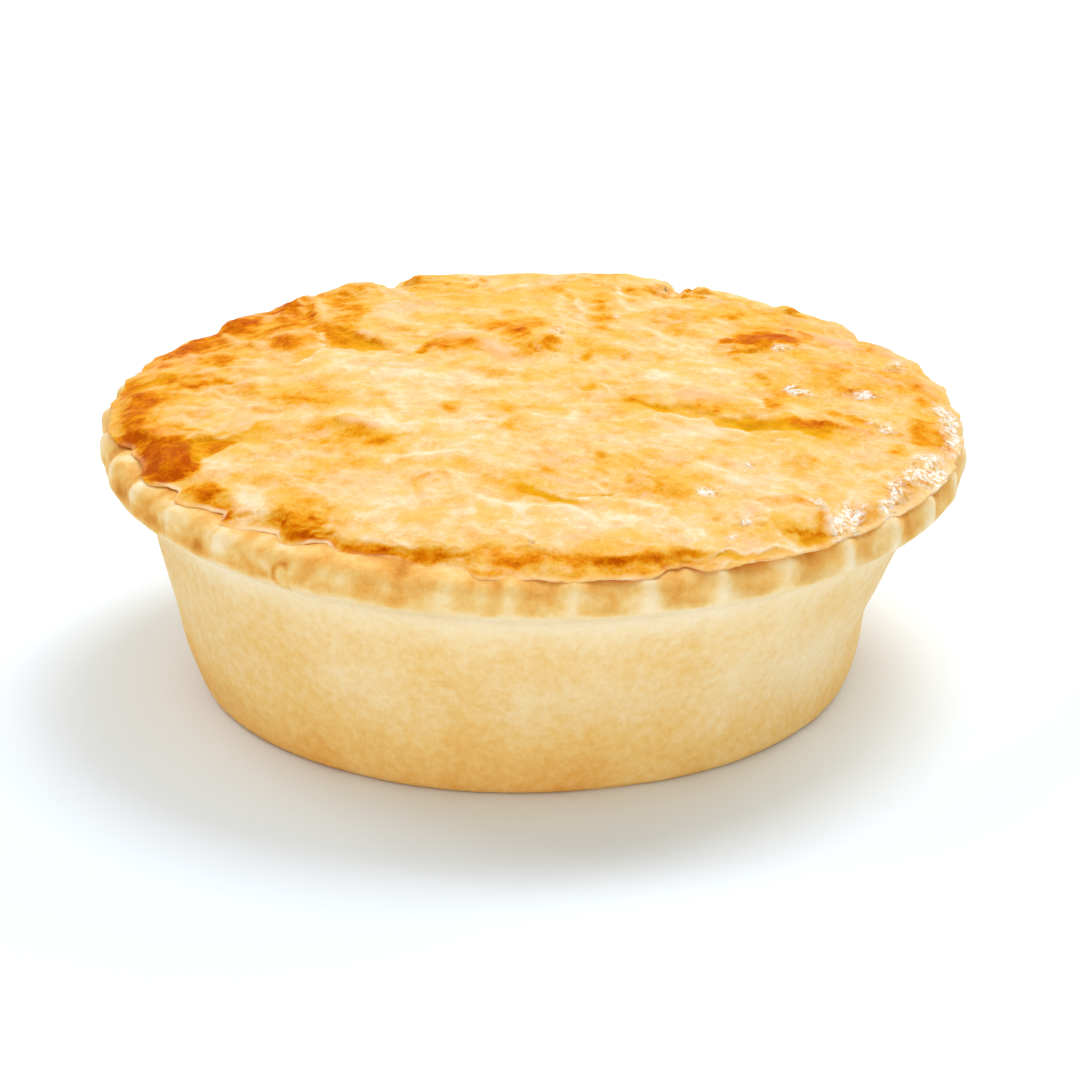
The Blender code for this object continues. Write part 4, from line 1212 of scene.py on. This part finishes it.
for _, _, foot_reach, lip_change, foot_change, _, points in LAYER_EDGES:
    distance, strength, _, _ = near_line(rough_x, rough_y, points, LAYER_EDGE_FADE)
    high = smooth_step(-TINT_SOFTNESS, TINT_SOFTNESS, distance)
    # The lip is mostly made paler, for its bare torn dough and a painted highlight; the foot gets painted
    # shade, browner and yellower.
    lip = lip_change * strength * high * bell(distance - LIP_LINE[0], LIP_LINE[1])
    foot = foot_change * strength * (1.0 - high) * bell(distance - FOOT_LINE[0], FOOT_LINE[1] * foot_reach)
    browned += LIP_BAKE * lip + FOOT_BAKE * foot
    gilded += FOOT_GILDING * foot
for _, half_width, pinkness, change, points in LID_FOLDS:
    distance, strength, _, _ = near_line(rough_x, rough_y, points, FOLD_FADE)
    crest = strength * bell(distance, half_width)
    browned += change * patchy * crest
    blushed += pinkness * crest
browned += uneven(x, y, BAKE_LUMPS) + uneven(rough_x, rough_y, BAKE_STREAKS)
grid = (LID_CELLS + 1, LID_CELLS + 1)
surface = relief.reshape(grid)
slope_x = np.gradient(surface, axis=1) / np.gradient(x[: len(top)].reshape(grid), axis=1)
slope_y = np.gradient(surface, axis=0) / np.gradient(y[: len(top)].reshape(grid), axis=0)
inside = 1.0 - smooth_step(0.97, 1.0, share)
# Painted shade: darker colour on slopes that face the front and the left, and on steep slopes.
faces_front = SLOPE_TOWARDS_FRONT[0] * slope_x + SLOPE_TOWARDS_FRONT[1] * slope_y
faces_front = np.tanh(faces_front).ravel() * inside
steep = smooth_step(0.35, 0.90, np.hypot(slope_x, slope_y)).ravel() * inside
browned[: len(top)] += FRONT_SLOPE_BAKE * faces_front + STEEP_BAKE * steep + RIB_BAKE * rib_trace
slowed = DARK_BAKE + DARK_BAKE_ROOM * np.tanh((browned - DARK_BAKE) / DARK_BAKE_ROOM)
browned = np.where(browned > DARK_BAKE, slowed, browned)
browned[len(top):] += edge_curl(edge_angle) * RING_BAKE[ring]
gilded = np.clip(gilded, 0.0, 1.0)
blushed = np.clip(blushed, 0.0, 1.0) * (1.0 - smooth_step(*BLUSH_FADE, browned)) * (1.0 - gilded)
torn = np.concatenate((edge_tears(angle, 4), edge_tears(edge_angle, 4)))
flush = np.concatenate((flush, around_the_pie(edge_angle, EDGE_FLUSH)))
near_edge = np.concatenate((smooth_step(*BARE_SHARES, share), RING_BARENESS[ring]))
unglazed = near_edge * np.clip(TORN_BARENESS * torn + FLUSH_BARENESS * flush, 0.0, 1.0)

puff_crust = bpy.data.materials.new("glazed_puff_crust")
puff_crust.use_nodes = True
# The lid's colour follows its browning, which carries painted shade on its slopes and below its steps.
bake = mottled(puff_crust, mark(puff_crust, "browned"), swing=0.14, size=2.2, detail=6.0, roughness=0.65)
bake = mottled(puff_crust, bake, swing=0.10, size=0.5, detail=4.0, roughness=0.65)
bubbles = mark(puff_crust, "bubbled")
pits = scaled(puff_crust, pattern(puff_crust, 0.9, 2.0), 0.52, 0.62)
pits = scaled(puff_crust, sums(puff_crust, "MULTIPLY", bubbles, pits), 0.0, 1.0, 0.0, 0.22)
bake = sums(puff_crust, "ADD", bake, pits)
flakes = scaled(puff_crust, pattern(puff_crust, 1.5, 5.0, 0.7), 0.60, 0.70, 0.0, -0.16)
bake = sums(puff_crust, "ADD", bake, flakes)
pale = scaled(puff_crust, bake, 0.48, 0.70, 1.0, 0.0)
cast = pattern(puff_crust, 5.0, 6.0, 0.65)
golden = scaled(puff_crust, cast, 0.48, 0.62, 0.0, 0.64)
rosy = scaled(puff_crust, cast, 0.46, 0.34, 0.0, 0.50)
clusters = scaled(puff_crust, pattern(puff_crust, 2.4, 3.0), 0.40, 0.50)
# Painted glints: whitish specks on the bubbled glaze, partly dried egg.
specks = scaled(puff_crust, pattern(puff_crust, 0.7, 3.0, 0.7), 0.45, 0.52)
lid_colour = colour_ramp(puff_crust, bake, PUFF_CRUST_COLOURS)
# The lid's tints: the folds' pink painted sheen, random golden and rosy casts, painted shade of darker
# yellow in the hollows, bare dough where torn, and whitish dried egg with painted glints on the bubbles.
for place, strength, tint in (
    (mark(puff_crust, "blushed"), 0.80, FOLD_PINK),
    (pale, golden, GOLDEN_CAST),
    (pale, rosy, ROSY_CAST),
    (mark(puff_crust, "gilded"), 0.80, HOLLOW_YELLOW),
    (mark(puff_crust, "unglazed"), 0.80, BARE_DOUGH),
    (sums(puff_crust, "MULTIPLY", bubbles, clusters), specks, DRIED_EGG),
):
    tinting = sums(puff_crust, "MULTIPLY", place, strength)
    lid_colour = mixed(puff_crust, tinting, lid_colour, tint)
bubble_relief = sums(puff_crust, "MULTIPLY", bubbles, pattern(puff_crust, 0.5, 2.0))
crust_relief = bumps(puff_crust, pattern(puff_crust, 0.9, 5.0, 0.65), 0.26)
feed(
    puff_crust,
    puff_crust.node_tree.nodes["Principled BSDF"],
    Base_Color=lid_colour,
    Roughness=PUFF_CRUST_ROUGHNESS,
    Specular_IOR_Level=PUFF_CRUST_SHINE,
    Normal=bumps(puff_crust, bubble_relief, 0.5, crust_relief),
    Coat_Weight=sums(puff_crust, "MULTIPLY", bubbles, 0.5),
    Coat_Roughness=GLAZE_ROUGHNESS,
)

puff_lid = finish_piece(
    "glazed_puff_lid",
    bm,
    puff_crust,
    browned=browned,
    blushed=blushed,
    gilded=gilded,
    bubbled=bubbling(rough_x, rough_y),
    unglazed=unglazed,
)
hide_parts("puff_lid")
